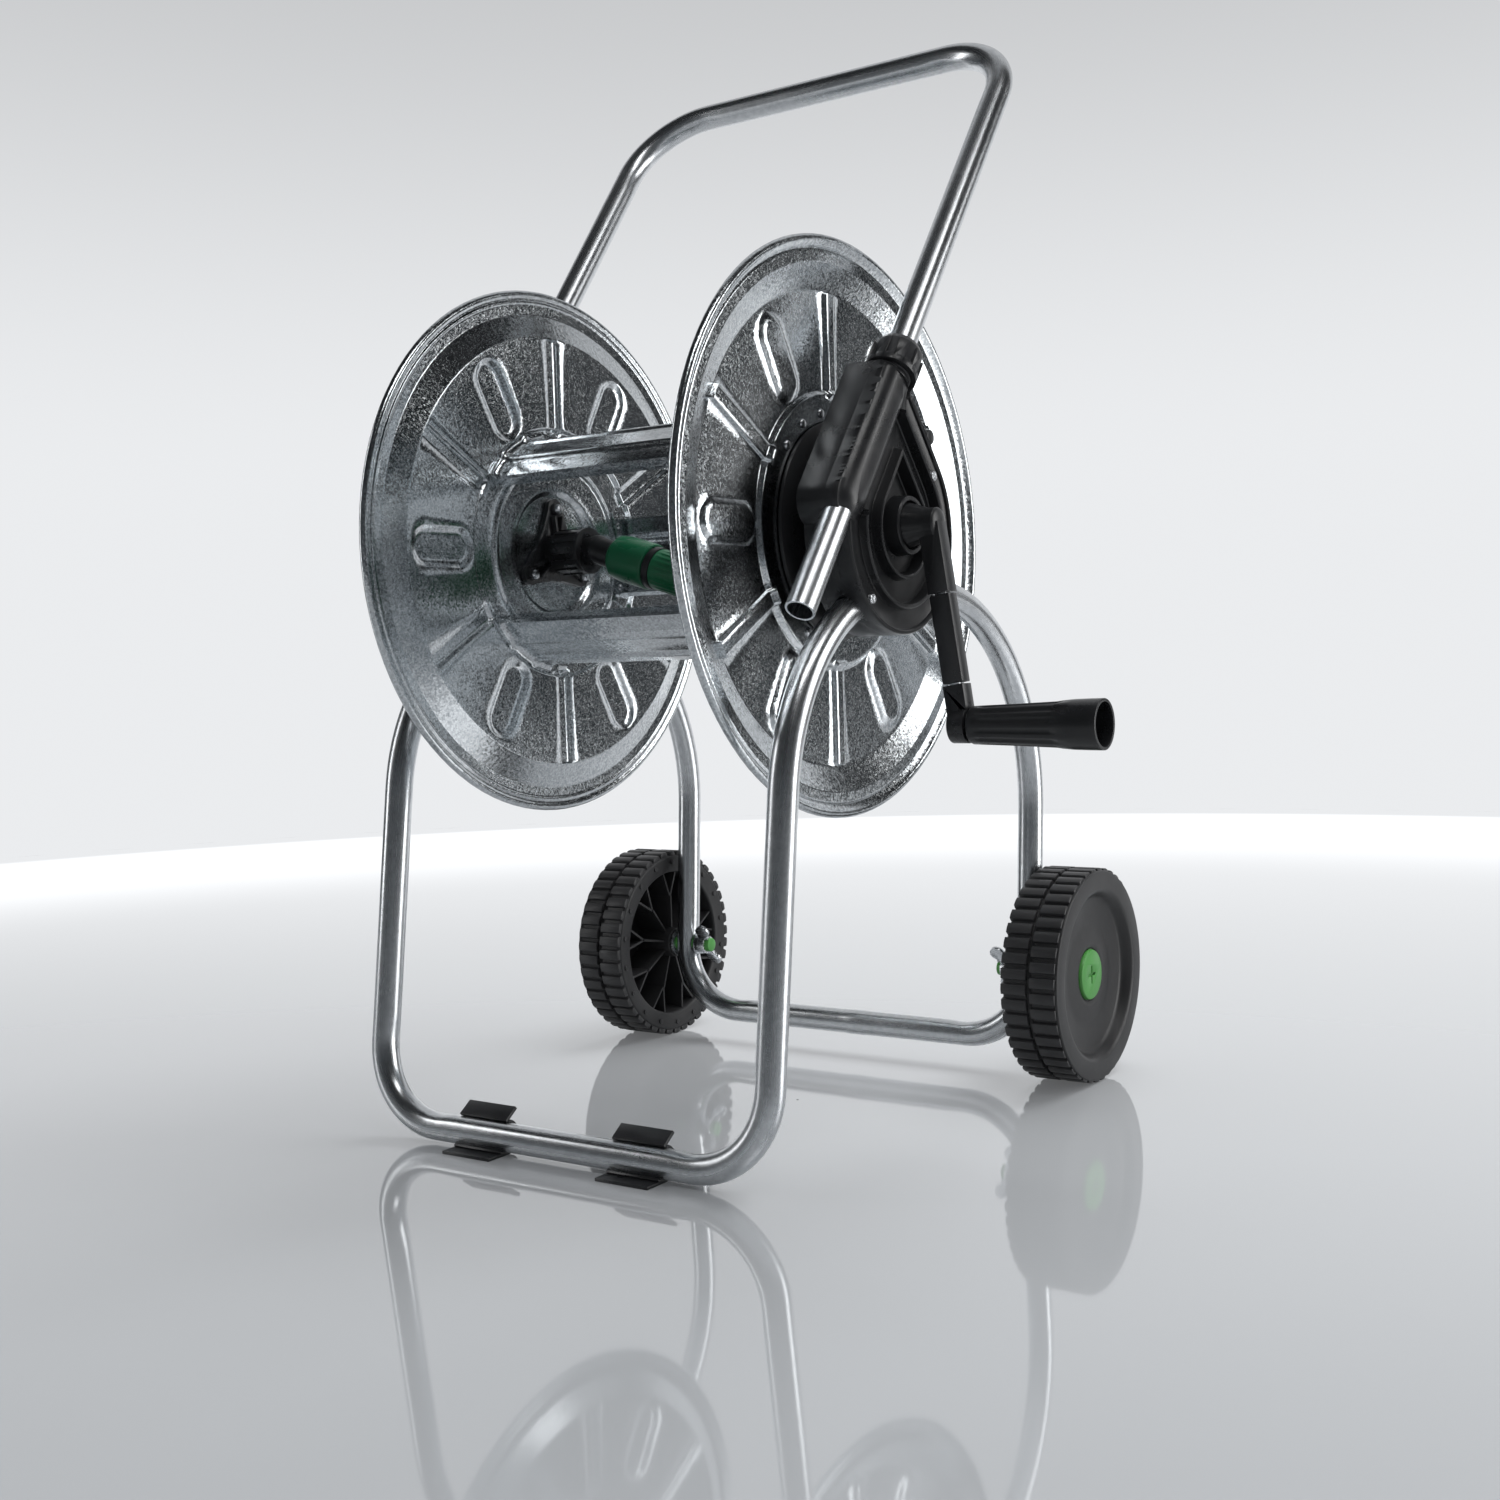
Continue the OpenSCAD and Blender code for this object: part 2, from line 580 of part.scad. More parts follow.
// ---- wheels ----
module lugs_2d(n, o) {
    circle(rw - tread);
    for (i = [0:n - 1]) rotate((i + o) * 360 / n) polygon([
        [rw - tread - 2, -0.38 * pitch], [rw - 0.4, -0.36 * pitch], [rw, 0],
        [rw - 0.4, 0.36 * pitch], [rw - tread - 2, 0.38 * pitch]]);
}
pitch = 2 * PI * rw / lugs;
module wheel() translate([0, wheel_y, rw]) {
    wb = xw1 - 9;
    rr = rw - tread;
    difference() {
        union() {
            xrev() polygon([
                [bolt_r + run, xw0 - 1.6], [13, xw0 - 1.6], [16, wb - 4], [62, wb - 4], [64, xw0 + 1],
                [rr - 3, xw0 + 1], [rr, xw0 + 3], [rr, xw1 - 3], [rw - 1, xw1 - 2.4],
                [rw - 1, xw1 - 0.6], [rw - 2, xw1], [rw * 0.765, xw1], [rw * 0.74, wb],
                [20.6, wb], [20.6, wb - 1], [bolt_r + run, wb - 1]]);
            side(xw0 + 1.2, (xw0 + xw1) / 2 - 1.6) difference() {
                lugs_2d(lugs, 0);
                circle(rr - 2);
            }
            side((xw0 + xw1) / 2 + 1.6, xw1 - 2) difference() {
                lugs_2d(lugs, 0.5);
                circle(rr - 2);
            }
            // forked ribs of the open inner face
            for (i = [0:8]) rotate([i * 40, 0, 0]) side(xw0 + 4, wb - 2) {
                translate([12, -0.8]) square([30, 1.6]);
                translate([41, 0]) rotate(24) translate([0, -0.8]) square([27, 1.6]);
                translate([41, 0]) rotate(-24) translate([0, -0.8]) square([27, 1.6]);
            }
        }
    }
}
module wheel_right() color("black") place() wheel();
module wheel_left() color("black") place() mirror([1, 0, 0]) wheel();
module wheel_bolts() color("limegreen") place() both() translate([0, wheel_y, rw]) difference() {
    union() {
        xcyl(bolt_r, xf - rt - 16, xw1 - 9.5);
        xcone(20, 19, xw1 - 9.8, xw1 - 7);
    }
    translate([xw1 - 9, -1.1, -7]) cube([3, 2.2, 14]);
    translate([xw1 - 9, -7, -1.1]) cube([3, 14, 2.2]);
}
module wheel_washers() color("silver") place() both() translate([0, wheel_y, rw]) difference() {
    union() {
        xcyl(11, xf + rt + 0.2, xw0 - 1.8);
        xcyl(9, xf - rt - 2.6, xf - rt - 1);
    }
    xcyl(bolt_r + 0.1, 0, xw1);
}
module wing_nuts() color("silver") place() both() translate([0, wheel_y, rw]) difference() {
    union() {
        xcone(8, 8.9, xf - rt - 12, xf - rt - 2.7);
        for (s = [-1, 1]) rotate([s * 90 + 35, 0, 0]) translate([xf - rt - 20, 0, -1.3]) {
            translate([5, 6, 0]) cube([9, 12, 2.6]);
            translate([7, 16, 0]) cylinder(r = 6, h = 2.6);
        }
    }
    xcyl(bolt_r + 0.1, 0, xw1);
}

frame_tube();
foot_clips();
housing_inner_right();
housing_outer_right();
housing_inner_left();
housing_outer_left();
housing_screws();
clamp_sleeves();
collar_nut_right();
collar_nut_left();
handle_tube();
disc_right();
disc_left();
drum_channel_front();
drum_channel_low();
drum_channel_rear();
drum_rivets();
bearing_flange_right();
bearing_flange_left();
drive_shaft();
disc_plug();
water_flange();
flange_screws();
coupling_nut();
spigot();
quick_connector();
connector_ring();
hose_nut();
inlet_elbow();
inlet_seals();
crank_hub();
crank_bar();
crank_sleeve();
crank_knuckle();
grip_axle();
crank_grip();
wheel_right();
wheel_left();
wheel_bolts();
wheel_washers();
wing_nuts();
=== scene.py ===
# %% [markdown]
# # A garden hose reel cart
# The cart is a bent steel tube frame with a big pressed steel reel between its two side arches, a push
# handle, a crank, two lugged wheels and a hose connector inside the drum. Its working shapes come from
# CAD, already in place. This lesson loads them as a fixed frame, then gives every visible piece its real
# surface: rounded edges, pressed sheet, swept tube, moulded plastic.

# %% Load the frame
import math

import bmesh
import bpy
import numpy as np
from mathutils import Matrix, Vector


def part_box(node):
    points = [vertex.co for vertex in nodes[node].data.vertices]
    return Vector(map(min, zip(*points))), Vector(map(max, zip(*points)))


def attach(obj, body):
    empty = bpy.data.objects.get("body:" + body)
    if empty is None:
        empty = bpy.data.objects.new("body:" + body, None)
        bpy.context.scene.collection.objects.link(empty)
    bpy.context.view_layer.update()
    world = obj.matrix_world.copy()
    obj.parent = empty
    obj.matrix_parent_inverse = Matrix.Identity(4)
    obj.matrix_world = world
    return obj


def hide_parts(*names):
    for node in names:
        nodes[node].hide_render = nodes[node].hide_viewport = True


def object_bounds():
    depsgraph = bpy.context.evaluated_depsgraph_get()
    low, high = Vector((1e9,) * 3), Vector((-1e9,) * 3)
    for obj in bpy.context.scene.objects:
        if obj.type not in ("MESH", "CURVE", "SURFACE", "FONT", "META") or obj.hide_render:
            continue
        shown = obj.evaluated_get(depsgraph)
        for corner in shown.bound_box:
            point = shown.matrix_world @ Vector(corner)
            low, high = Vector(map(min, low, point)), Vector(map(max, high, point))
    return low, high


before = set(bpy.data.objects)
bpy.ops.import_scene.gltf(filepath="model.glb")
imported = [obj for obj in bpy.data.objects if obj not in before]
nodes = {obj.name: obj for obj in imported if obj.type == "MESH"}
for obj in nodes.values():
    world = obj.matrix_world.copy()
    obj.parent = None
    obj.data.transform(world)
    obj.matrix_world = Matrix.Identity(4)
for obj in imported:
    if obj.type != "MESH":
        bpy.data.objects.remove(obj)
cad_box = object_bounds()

print("CAD nodes:", len(nodes), "box:", [round(c, 3) for c in (*cad_box[0], *cad_box[1])])

# %% [markdown]
# Nearly everything on the cart is placed from the reel's axle, so sizes below are in millimetres from the
# middle of the axle: x to the crank side, y to the back, z up. One small function turns such a point into
# the frame's metres, and it is the only place where the two meet.

# %% Find the axle
right_lo, right_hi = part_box("disc_right")
left_lo, left_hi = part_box("disc_left")
axle = Vector(((left_lo.x + right_hi.x) / 2, (right_lo.y + right_hi.y) / 2, (right_lo.z + right_hi.z) / 2))
reel_radius = (right_hi.z - right_lo.z) / 2 * 1000
MM = 0.001


def at(x, y, z):
    return axle + Vector((x, y, z)) * MM


print("axle at", [round(c, 4) for c in axle], "reel radius", round(reel_radius, 1), "mm")

# %% [markdown]
# ## Camera
# A studio view of a product this size uses a normal lens from a low height. The camera stands a little
# to the crank side of the front, tilted a touch, so both discs, the crank and the near wheel are seen.

# %% Set the camera
def placed(name, data):
    thing = bpy.data.objects.new(name, data)
    bpy.context.scene.collection.objects.link(thing)
    return thing


TURN, RISE, ROLL = math.radians(34.33), math.radians(3.79), math.radians(-1.72)
back = Vector((math.sin(TURN) * math.cos(RISE), -math.cos(TURN) * math.cos(RISE), math.sin(RISE)))
across = Vector((math.cos(TURN), math.sin(TURN), 0))
upward = back.cross(across)
lens_x = across * math.cos(ROLL) + upward * math.sin(ROLL)
lens_y = upward * math.cos(ROLL) - across * math.sin(ROLL)
camera = placed("camera", bpy.data.cameras.new("camera"))
camera.matrix_world = Matrix((lens_x, lens_y, back)).transposed().to_4x4()
camera.location = at(769.4, -1055.5, -93.3)
camera.data.sensor_width = 36
camera.data.lens = 42.17
camera.data.shift_y = 0.0229
camera.data.clip_start, camera.data.clip_end = 0.05, 60
bpy.context.scene.camera = camera
print("camera at", [round(c, 3) for c in camera.location], "lens", camera.data.lens)

# %% [markdown]
# ## Finishes
# Each finish is a node tree around one shader. Numbers that are the same all over, such as a coat, sit
# on the shader itself, and only what varies over the surface is wired in. A small helper wires nodes.

# %% Node helper
def finish_base(name, colour, metallic, roughness, **sockets):
    material = bpy.data.materials.new(name + "_look")
    material.use_nodes = True
    tree = material.node_tree
    shader = tree.nodes["Principled BSDF"]
    shader.inputs["Base Color"].default_value = (*colour, 1)
    shader.inputs["Metallic"].default_value = metallic
    shader.inputs["Roughness"].default_value = roughness
    for socket, value in sockets.items():
        shader.inputs[socket.replace("_", " ")].default_value = value
    return material, tree, shader


def add(tree, kind, settings=(), **inputs):
    """A new node. An input is named by its label, or by its number as i0, i1 and so on."""
    node = tree.nodes.new("ShaderNode" + kind)
    for key, value in dict(settings).items():
        setattr(node, key, value)
    for key, value in inputs.items():
        numbered = key[0] == "i" and key[1:].isdigit()
        socket = node.inputs[int(key[1:]) if numbered else key.replace("_", " ")]
        if isinstance(value, bpy.types.NodeSocket):
            tree.links.new(value, socket)
        else:
            socket.default_value = value
    return node


def calc(tree, operation, *values, kind="Math", **settings):
    inputs = {f"i{n}": value for n, value in enumerate(values)}
    node = add(tree, kind, {"operation": operation, **settings}, **inputs)
    return node.outputs["Value" if operation in ("DISTANCE", "DOT_PRODUCT") else 0]


def ramp(tree, factor, low, high, start=0.0, end=1.0, shape="LINEAR"):
    node = add(tree, "MapRange", {"interpolation_type": shape}, i0=factor, i1=start, i2=end, i3=low, i4=high)
    return node.outputs[0]


def tint(tree, factor, dark, light):
    node = add(tree, "Mix", {"data_type": "RGBA"})
    tree.links.new(factor, node.inputs[0])
    node.inputs[6].default_value = (*dark, 1)
    node.inputs[7].default_value = (*light, 1)
    return node.outputs[2]


def bump(tree, shader, height, strength, distance):
    node = add(tree, "Bump", Strength=strength, Distance=distance, Height=height)
    tree.links.new(node.outputs["Normal"], shader.inputs["Normal"])


def place_of(tree, scale=(1, 1, 1)):
    where = add(tree, "TexCoord")
    return add(tree, "Mapping", i0=where.outputs["Object"], i3=scale).outputs[0]


print("helpers ready")

# %% [markdown]
# ### Galvanised sheet
# Zinc freezes on the sheet in small crystals, and each lies a little askew. Voronoi cells give every
# crystal one random colour, which is used as a small push on the surface's normal, so neighbours mirror
# slightly different parts of the room. The same cells and a finer noise vary tone and gloss.

# %% Galvanised sheet
def galvanised_sheet():
    material, tree, shader = finish_base("galvanised_sheet", (0.70, 0.72, 0.74), 1.0, 0.2)
    where = place_of(tree)
    crystal = add(tree, "TexVoronoi", Vector=where, Scale=800).outputs["Color"]
    fine = add(tree, "TexNoise", Vector=where, Scale=1500, Detail=2).outputs["Fac"]
    broad = add(tree, "TexNoise", Vector=where, Scale=9, Detail=3).outputs["Fac"]
    tone = add(tree, "SeparateColor", Color=crystal).outputs[0]
    mixed = calc(tree, "MULTIPLY_ADD", fine, 0.6, tone)
    tree.links.new(tint(tree, ramp(tree, mixed, 0, 1, 0.2, 1.3), (0.44, 0.47, 0.49), (0.76, 0.79, 0.81)),
                   shader.inputs["Base Color"])
    gloss = calc(tree, "MULTIPLY_ADD", broad, 1.2, tone)
    tree.links.new(ramp(tree, gloss, 0.10, 0.24, 0.3, 1.6), shader.inputs["Roughness"])
    centred = calc(tree, "SUBTRACT", crystal, (0.5,) * 3, kind="VectorMath")
    facing = add(tree, "NewGeometry").outputs["Normal"]
    askew = calc(tree, "MULTIPLY_ADD", centred, (0.07,) * 3, facing, kind="VectorMath")
    normal = calc(tree, "NORMALIZE", askew, kind="VectorMath")
    tree.links.new(normal, shader.inputs["Normal"])
    return material


galvanised = galvanised_sheet()
print("made", galvanised.name)

# %% [markdown]
# ### Zinc plated tube
# The tubes are drawn and then plated, so fine scratches run along them and follow every bend. Such a
# pattern can't come from plain space, so each tube carries a map of its own: along it and around it.

# %% Zinc plated tube
def zinc_tube(name, mapped):
    material, tree, shader = finish_base(name, (0.68, 0.70, 0.72), 1.0, 0.2)
    if mapped:
        own = add(tree, "UVMap", {"uv_map": "along"}).outputs["UV"]
        streaks = add(tree, "Mapping", i0=own, i3=(3, 260, 1)).outputs[0]
        flecks = add(tree, "Mapping", i0=own, i3=(60, 60, 1)).outputs[0]
    else:
        streaks = place_of(tree, (20, 400, 400))
        flecks = place_of(tree, (80, 80, 80))
    drawn = add(tree, "TexNoise", Vector=streaks, Scale=1, Detail=5, Roughness=0.65).outputs["Fac"]
    spots = add(tree, "TexNoise", Vector=flecks, Scale=3, Detail=6, Roughness=0.7).outputs["Fac"]
    cloud = add(tree, "TexNoise", Vector=place_of(tree), Scale=11, Detail=3).outputs["Fac"]
    tree.links.new(tint(tree, ramp(tree, spots, 0, 1, 0.3, 0.7), (0.58, 0.60, 0.62), (0.76, 0.78, 0.80)),
                   shader.inputs["Base Color"])
    both = calc(tree, "MULTIPLY_ADD", cloud, 0.7, drawn)
    tree.links.new(ramp(tree, both, 0.20, 0.34, 0.55, 1.15), shader.inputs["Roughness"])
    bump(tree, shader, drawn, 0.05, 0.0003)
    return material


plated = zinc_tube("zinc_tube", True)
bright_steel = zinc_tube("bright_steel", False)
print("made", plated.name, bright_steel.name)

# %% [markdown]
# ### Moulded plastics
# Garden plastics come out of a spark-eroded mould with a fine grain, which dulls the gloss unevenly.
# Raised edges get a painted highlight: they are tinted a little lighter. One recipe serves all of them with
# different colours.

# %% Moulded plastics
def moulded(name, dark, light, roughness, grain=0.10, edge=0.35):
    material, tree, shader = finish_base(name, dark, 0.0, roughness, Specular_IOR_Level=0.5)
    where = place_of(tree)
    pores = add(tree, "TexNoise", Vector=where, Scale=1700, Detail=3, Roughness=0.6).outputs["Fac"]
    flow = add(tree, "TexNoise", Vector=where, Scale=24, Detail=4, Roughness=0.6).outputs["Fac"]
    # painted highlight: raised edges (high pointiness) are tinted lighter, edge sets how far; the flow noise
    # adds random tone
    edge_pointiness = add(tree, "NewGeometry").outputs["Pointiness"]
    painted_edge_highlight = ramp(tree, edge_pointiness, 0, edge, 0.505, 0.56)
    tone_and_edge_highlight = calc(tree, "MULTIPLY_ADD", flow, 0.45, painted_edge_highlight, use_clamp=True)
    tree.links.new(tint(tree, tone_and_edge_highlight, dark, light), shader.inputs["Base Color"])
    tree.links.new(ramp(tree, flow, roughness - 0.07, roughness + 0.09, 0.3, 0.7), shader.inputs["Roughness"])
    bump(tree, shader, pores, grain, 0.0003)
    return material


black = moulded("black_plastic", (0.006, 0.0063, 0.007), (0.018, 0.0185, 0.02), 0.30)
tyre_black = moulded("wheel_plastic", (0.010, 0.010, 0.0105), (0.03, 0.03, 0.0315), 0.42, 0.16)
grey = moulded("grey_plastic", (0.05, 0.05, 0.055), (0.1, 0.1, 0.11), 0.45)
dark_green = moulded("green_plastic", (0.004, 0.075, 0.032), (0.012, 0.12, 0.05), 0.30)
light_green = moulded("light_green_plastic", (0.045, 0.22, 0.04), (0.08, 0.30, 0.06), 0.33)
rubber = moulded("seal_rubber", (0.01, 0.01, 0.01), (0.03, 0.03, 0.03), 0.6, 0.2)
print("made", [m.name for m in (black, tyre_black, grey, dark_green, light_green, rubber)])

# %% [markdown]
# ## Pieces
# A finished piece is a plain mesh whose place is in its points. It rides on the CAD body it belongs to,
# hides the CAD nodes it stands for, and takes one finish.

# %% Piece helper
def smooth(mesh, angle=35):
    mesh.polygons.foreach_set("use_smooth", [True] * len(mesh.polygons))
    mesh.set_sharp_from_angle(angle=math.radians(angle))


def piece(name, mesh, material, body, *stands_for, angle=35):
    mesh.name = name
    smooth(mesh, angle)
    mesh.materials.clear()
    mesh.materials.append(material)
    thing = placed(name, mesh)
    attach(thing, body)
    if stands_for:
        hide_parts(*stands_for)
    print(name, "faces", len(mesh.polygons), "on", body)
    return thing


def mesh_of(points, faces):
    mesh = bpy.data.meshes.new("work")
    mesh.from_pydata([tuple(p) for p in points], [], faces)
    mesh.update()
    return mesh


def lattice(rings, count, closed=False, base=0):
    """Quads between rings of points laid one after another; closed joins the last ring to the first."""
    faces = []
    for i in range(rings if closed else rings - 1):
        here, there = base + i * count, base + (i + 1) % rings * count
        for k in range(count):
            m = (k + 1) % count
            faces.append((here + k, here + m, there + m, there + k))
    return faces


def turn_out(mesh):
    work = bmesh.new()
    work.from_mesh(mesh)
    bmesh.ops.remove_doubles(work, verts=work.verts, dist=1e-6)
    bmesh.ops.recalc_face_normals(work, faces=work.faces)
    work.to_mesh(mesh)
    work.free()
    return mesh


def bake(thing):
    view = bpy.context.evaluated_depsgraph_get()
    view.update()
    mesh = bpy.data.meshes.new_from_object(thing.evaluated_get(view))
    bpy.data.objects.remove(thing)
    return mesh


def join(*meshes):
    work = bmesh.new()
    for mesh in meshes:
        work.from_mesh(mesh)
    made = bpy.data.meshes.new("work")
    work.to_mesh(made)
    work.free()
    return made


print("piece helper ready")

# %% [markdown]
# ## Moulded and turned pieces
# The CAD already has the true form of housings, nuts, crank and clips, but with knife edges. Real
# mouldings have a small radius everywhere, and that radius is what catches the light. A copy of each CAD
# mesh is merged, its flat faces are joined, and the Bevel modifier rounds every sharp edge.

# %% Round the edges of a CAD copy
def soften(mesh, radius, segments=2, angle=30):
    thing = placed("work", mesh)
    edge = thing.modifiers.new("edge", "BEVEL")
    edge.width, edge.segments = radius * MM, segments
    edge.limit_method, edge.angle_limit = "ANGLE", math.radians(angle)
    edge.use_clamp_overlap = True
    return bake(thing)


def rounded(node, radius):
    mesh = nodes[node].data.copy()
    work = bmesh.new()
    work.from_mesh(mesh)
    bmesh.ops.remove_doubles(work, verts=work.verts, dist=2e-6)
    bmesh.ops.dissolve_degenerate(work, edges=work.edges, dist=2e-6)
    bmesh.ops.dissolve_limit(work, angle_limit=math.radians(1.0), verts=work.verts, edges=work.edges)
    work.to_mesh(mesh)
    work.free()
    return soften(mesh, radius)


# (body, finish, edge radius, nodes)
rounded_plan = [
    ("cart", black, 0.8, "housing_inner_right housing_inner_left"), ("cart", grey, 0.3, "clamp_sleeves"),
    ("cart", bright_steel, 0.25, "housing_screws"), ("cart", bright_steel, 0.3, "wheel_washers"),
    ("cart", bright_steel, 0.7, "wing_nuts"), ("cart", light_green, 0.5, "wheel_bolts"),
    ("cart", black, 0.4, "foot_clips"), ("collar_right", black, 0.7, "collar_nut_right"),
    ("collar_left", black, 0.7, "collar_nut_left"), ("reel", black, 0.4, "spigot"),
    ("reel", black, 0.6, "bearing_flange_right bearing_flange_left water_flange"),
    ("reel", black, 0.5, "disc_plug coupling_nut"), ("reel", bright_steel, 0.5, "crank_bar"),
    ("reel", black, 1.2, "crank_hub crank_sleeve crank_knuckle"),
    ("reel", bright_steel, 0.3, "flange_screws drum_rivets"),
    ("reel", bright_steel, 0.4, "drive_shaft grip_axle"), ("connector", dark_green, 0.6, "quick_connector"),
    ("connector", dark_green, 0.35, "hose_nut"), ("connector", black, 0.4, "connector_ring"),
    ("inlet", black, 0.5, "inlet_elbow"), ("inlet", rubber, 0.1, "inlet_seals"),
]
for body, material, radius, names in rounded_plan:
    for node in names.split():
        piece(node + "_piece", rounded(node, radius), material, body, node)

# %% [markdown]
# ## Bent tubes
# A bent tube is a circle carried along a path of straights and arcs. Blender's curves could do it, but
# a real bend also flattens a little where it starts on its inner side, so the rings are laid out in code:
# each ring knows how far along it is and which way the bend turns.

# %% Sweep a tube
def polyline(corners):
    """Points along a path given as (point, bend radius), each bend cut in small steps."""
    points = []
    count = len(corners)
    closed = corners[0][1] > 0
    for i, (p, radius) in enumerate(corners):
        p = Vector(p)
        if radius <= 0:
            points.append(p)
            continue
        a = (Vector(corners[i - 1][0]) - p).normalized()
        b = (Vector(corners[(i + 1) % count][0]) - p).normalized()
        half = a.angle(b) / 2
        reach = radius / math.tan(half)
        centre = p + (a + b).normalized() * radius / math.sin(half)
        start, end = p + a * reach, p + b * reach
        sweep = math.pi - 2 * half
        steps = max(3, int(math.degrees(sweep) / 3))
        u = (start - centre).normalized()
        v = (end - centre - u * (end - centre).dot(u)).normalized()
        for k in range(steps + 1):
            t = sweep * k / steps
            points.append(centre + radius * (math.cos(t) * u + math.sin(t) * v))
    return points, closed


def refine(points, closed, longest):
    out = []
    last = len(points) if closed else len(points) - 1
    for i in range(last):
        a, b = points[i], points[(i + 1) % len(points)]
        pieces = max(1, math.ceil((b - a).length / longest))
        out += [a.lerp(b, k / pieces) for k in range(pieces)]
    if not closed:
        out.append(points[-1])
    return out


def tube(corners, radius, wall=0, sides=40, longest=12, shape=None):
    points, closed = polyline(corners)
    points = refine(points, closed, longest)
    count = len(points)
    along = [0.0]
    for i in range(1, count):
        along.append(along[-1] + (points[i] - points[i - 1]).length)
    tangents = []
    for i in range(count):
        before = points[i - 1] if (i or closed) else points[0]
        after = points[(i + 1) % count] if (i < count - 1 or closed) else points[-1]
        tangents.append((after - before).normalized())
    up = tangents[0].orthogonal().normalized()
    frames = []
    for t in tangents:
        up = (up - t * up.dot(t)).normalized()
        frames.append((up, t.cross(up)))
    twist = 0
    if closed:
        t = tangents[0]
        carried = (up - t * up.dot(t)).normalized()
        twist = math.atan2(carried.dot(frames[0][1]), carried.dot(frames[0][0]))
    verts, uvs = [], []

    def layer(r):
        for i, p in enumerate(points):
            u, v = frames[i]
            turn = -twist * i / count
            for k in range(sides):
                angle = 2 * math.pi * k / sides + turn
                out = u * math.cos(angle) + v * math.sin(angle)
                grow = shape(p, out) if shape else 0
                verts.append((p + out * (r + grow)) * MM + axle)

    layer(radius)
    if wall:
        layer(radius - wall)
    faces, maps = [], []
    rings = count if closed else count - 1
    total = along[-1] + ((points[0] - points[-1]).length if closed else 0)

    def skin(base, flip):
        for i in range(rings):
            j = (i + 1) % count
            s0, s1 = along[i] * MM, (along[j] if j else total) * MM
            for k in range(sides):
                m = (k + 1) % sides
                here, there = base + i * sides, base + j * sides
                quad = [here + k, here + m, there + m, there + k]
                t0, t1 = k / sides * 0.0628, (k + 1) / sides * 0.0628
                uv = [(s0, t0), (s0, t1), (s1, t1), (s1, t0)]
                faces.append(quad[::-1] if flip else quad)
                maps.append(uv[::-1] if flip else uv)

    skin(0, False)
    if wall:
        skin(count * sides, True)
        for i, flip in ((0, False), (count - 1, True)):
            for k in range(sides):
                m = (k + 1) % sides
                quad = [i * sides + m, i * sides + k, (count + i) * sides + k, (count + i) * sides + m]
                faces.append(quad[::-1] if flip else quad)
                maps.append([(0, 0)] * 4)
    mesh = mesh_of(verts, faces)
    layer_uv = mesh.uv_layers.new(name="along")
    layer_uv.data.foreach_set("uv", [c for uv in maps for pair in uv for c in pair])
    print("tube of", round(total), "mm,", count, "rings")
    return mesh


print("tube helpers ready")

# %% [markdown]
# ### Frame tube
# The frame is one closed loop: rear cross tube, rear legs, side arches, front legs and foot tube. Corners
# are given as points with their bend radius. The two tube ends meet in the middle of the rear cross tube,
# where one end is widened to take the other, and every tight corner is a little crushed on its inner side.

# %% Frame tube
tube_r = 10
leg_x = 168
corner_r = 55
floor_z = cad_box[0].z
ground = (floor_z - axle.z) / MM
foot_z = ground + tube_r + 2.3
rear_z = ground + 28
LEAN_F, LEAN_R = math.radians(7.5), math.radians(4)
top_z = ground + 380
front_c, front_r = (10, top_z - 150), 150
rear_c, rear_r = (60, top_z - 160), 160
front_t = (front_c[0] - front_r * math.cos(LEAN_F), front_c[1] + front_r * math.sin(LEAN_F))
rear_t = (rear_c[0] + rear_r * math.cos(LEAN_R), rear_c[1] - rear_r * math.sin(LEAN_R))
foot_y = front_t[0] - (front_t[1] - foot_z) * math.tan(LEAN_F)
rear_y = rear_t[0] - (rear_t[1] - rear_z) * math.tan(LEAN_R)
# corners where each straight leg would meet the level top of its arch
front_k = (front_t[0] + (top_z - front_t[1]) * math.tan(LEAN_F), top_z)
rear_k = (rear_t[0] + (top_z - rear_t[1]) * math.tan(LEAN_R), top_z)
loop = []
for side, order in ((1, 1), (-1, -1)):
    half = [((side * leg_x, rear_y, rear_z), corner_r), ((side * leg_x, *rear_k), rear_r),
            ((side * leg_x, *front_k), front_r), ((side * leg_x, foot_y, foot_z), corner_r)]
    loop += half[::order]


def crush(away, facing):
    """The dent where a tight bend starts, some way along the tube, on the side that faces inwards."""
    return 0.9 * math.exp(-(away / 9) ** 2) * max(0, facing) ** 4


def inwards(p, out):
    return -out.x if p.x > 0 else out.x


def frame_shape(p, out):
    grow = 0
    if abs(p.y - rear_y) < 3 and abs(p.z - rear_z) < 3:
        if p.x > 0.5:
            grow += 0.35 * (1 - min(1, max(0, (p.x - 16) / 8)))
        grow -= 0.75 * math.exp(-((p.x - 0.5) / 1.3) ** 2)
    for corner_y, corner_z in ((foot_y, foot_z), (rear_y, rear_z)):
        if abs(p.z - corner_z) < 12 and abs(p.y - corner_y) < 12:
            grow -= crush(abs(p.x) - (leg_x - corner_r - 4), out.z)
        start_z = corner_z + corner_r + 4
        if abs(abs(p.x) - leg_x) < 1 and abs(p.z - start_z) < 40 and abs(p.y - corner_y) < 14:
            grow -= crush(p.z - start_z, inwards(p, out))
    return grow


frame_mesh = tube(loop, tube_r, longest=4, shape=frame_shape)
piece("frame_tube_piece", turn_out(frame_mesh), plated, "cart", "frame_tube", angle=60)

# %% [markdown]
# ### Push handle
# The handle is a U of the same tube, leaning back, with cut open ends that show its wall.

# %% Push handle
LEAN_H = math.radians(37.1)
handle_x = 174.5
handle_off = 63
handle_r = 60
handle_low, handle_top = -121, 378


lean_up = Vector((0, math.sin(LEAN_H), math.cos(LEAN_H)))


def rotated(y, z, angle):
    return y * math.cos(angle) - z * math.sin(angle), y * math.sin(angle) + z * math.cos(angle)


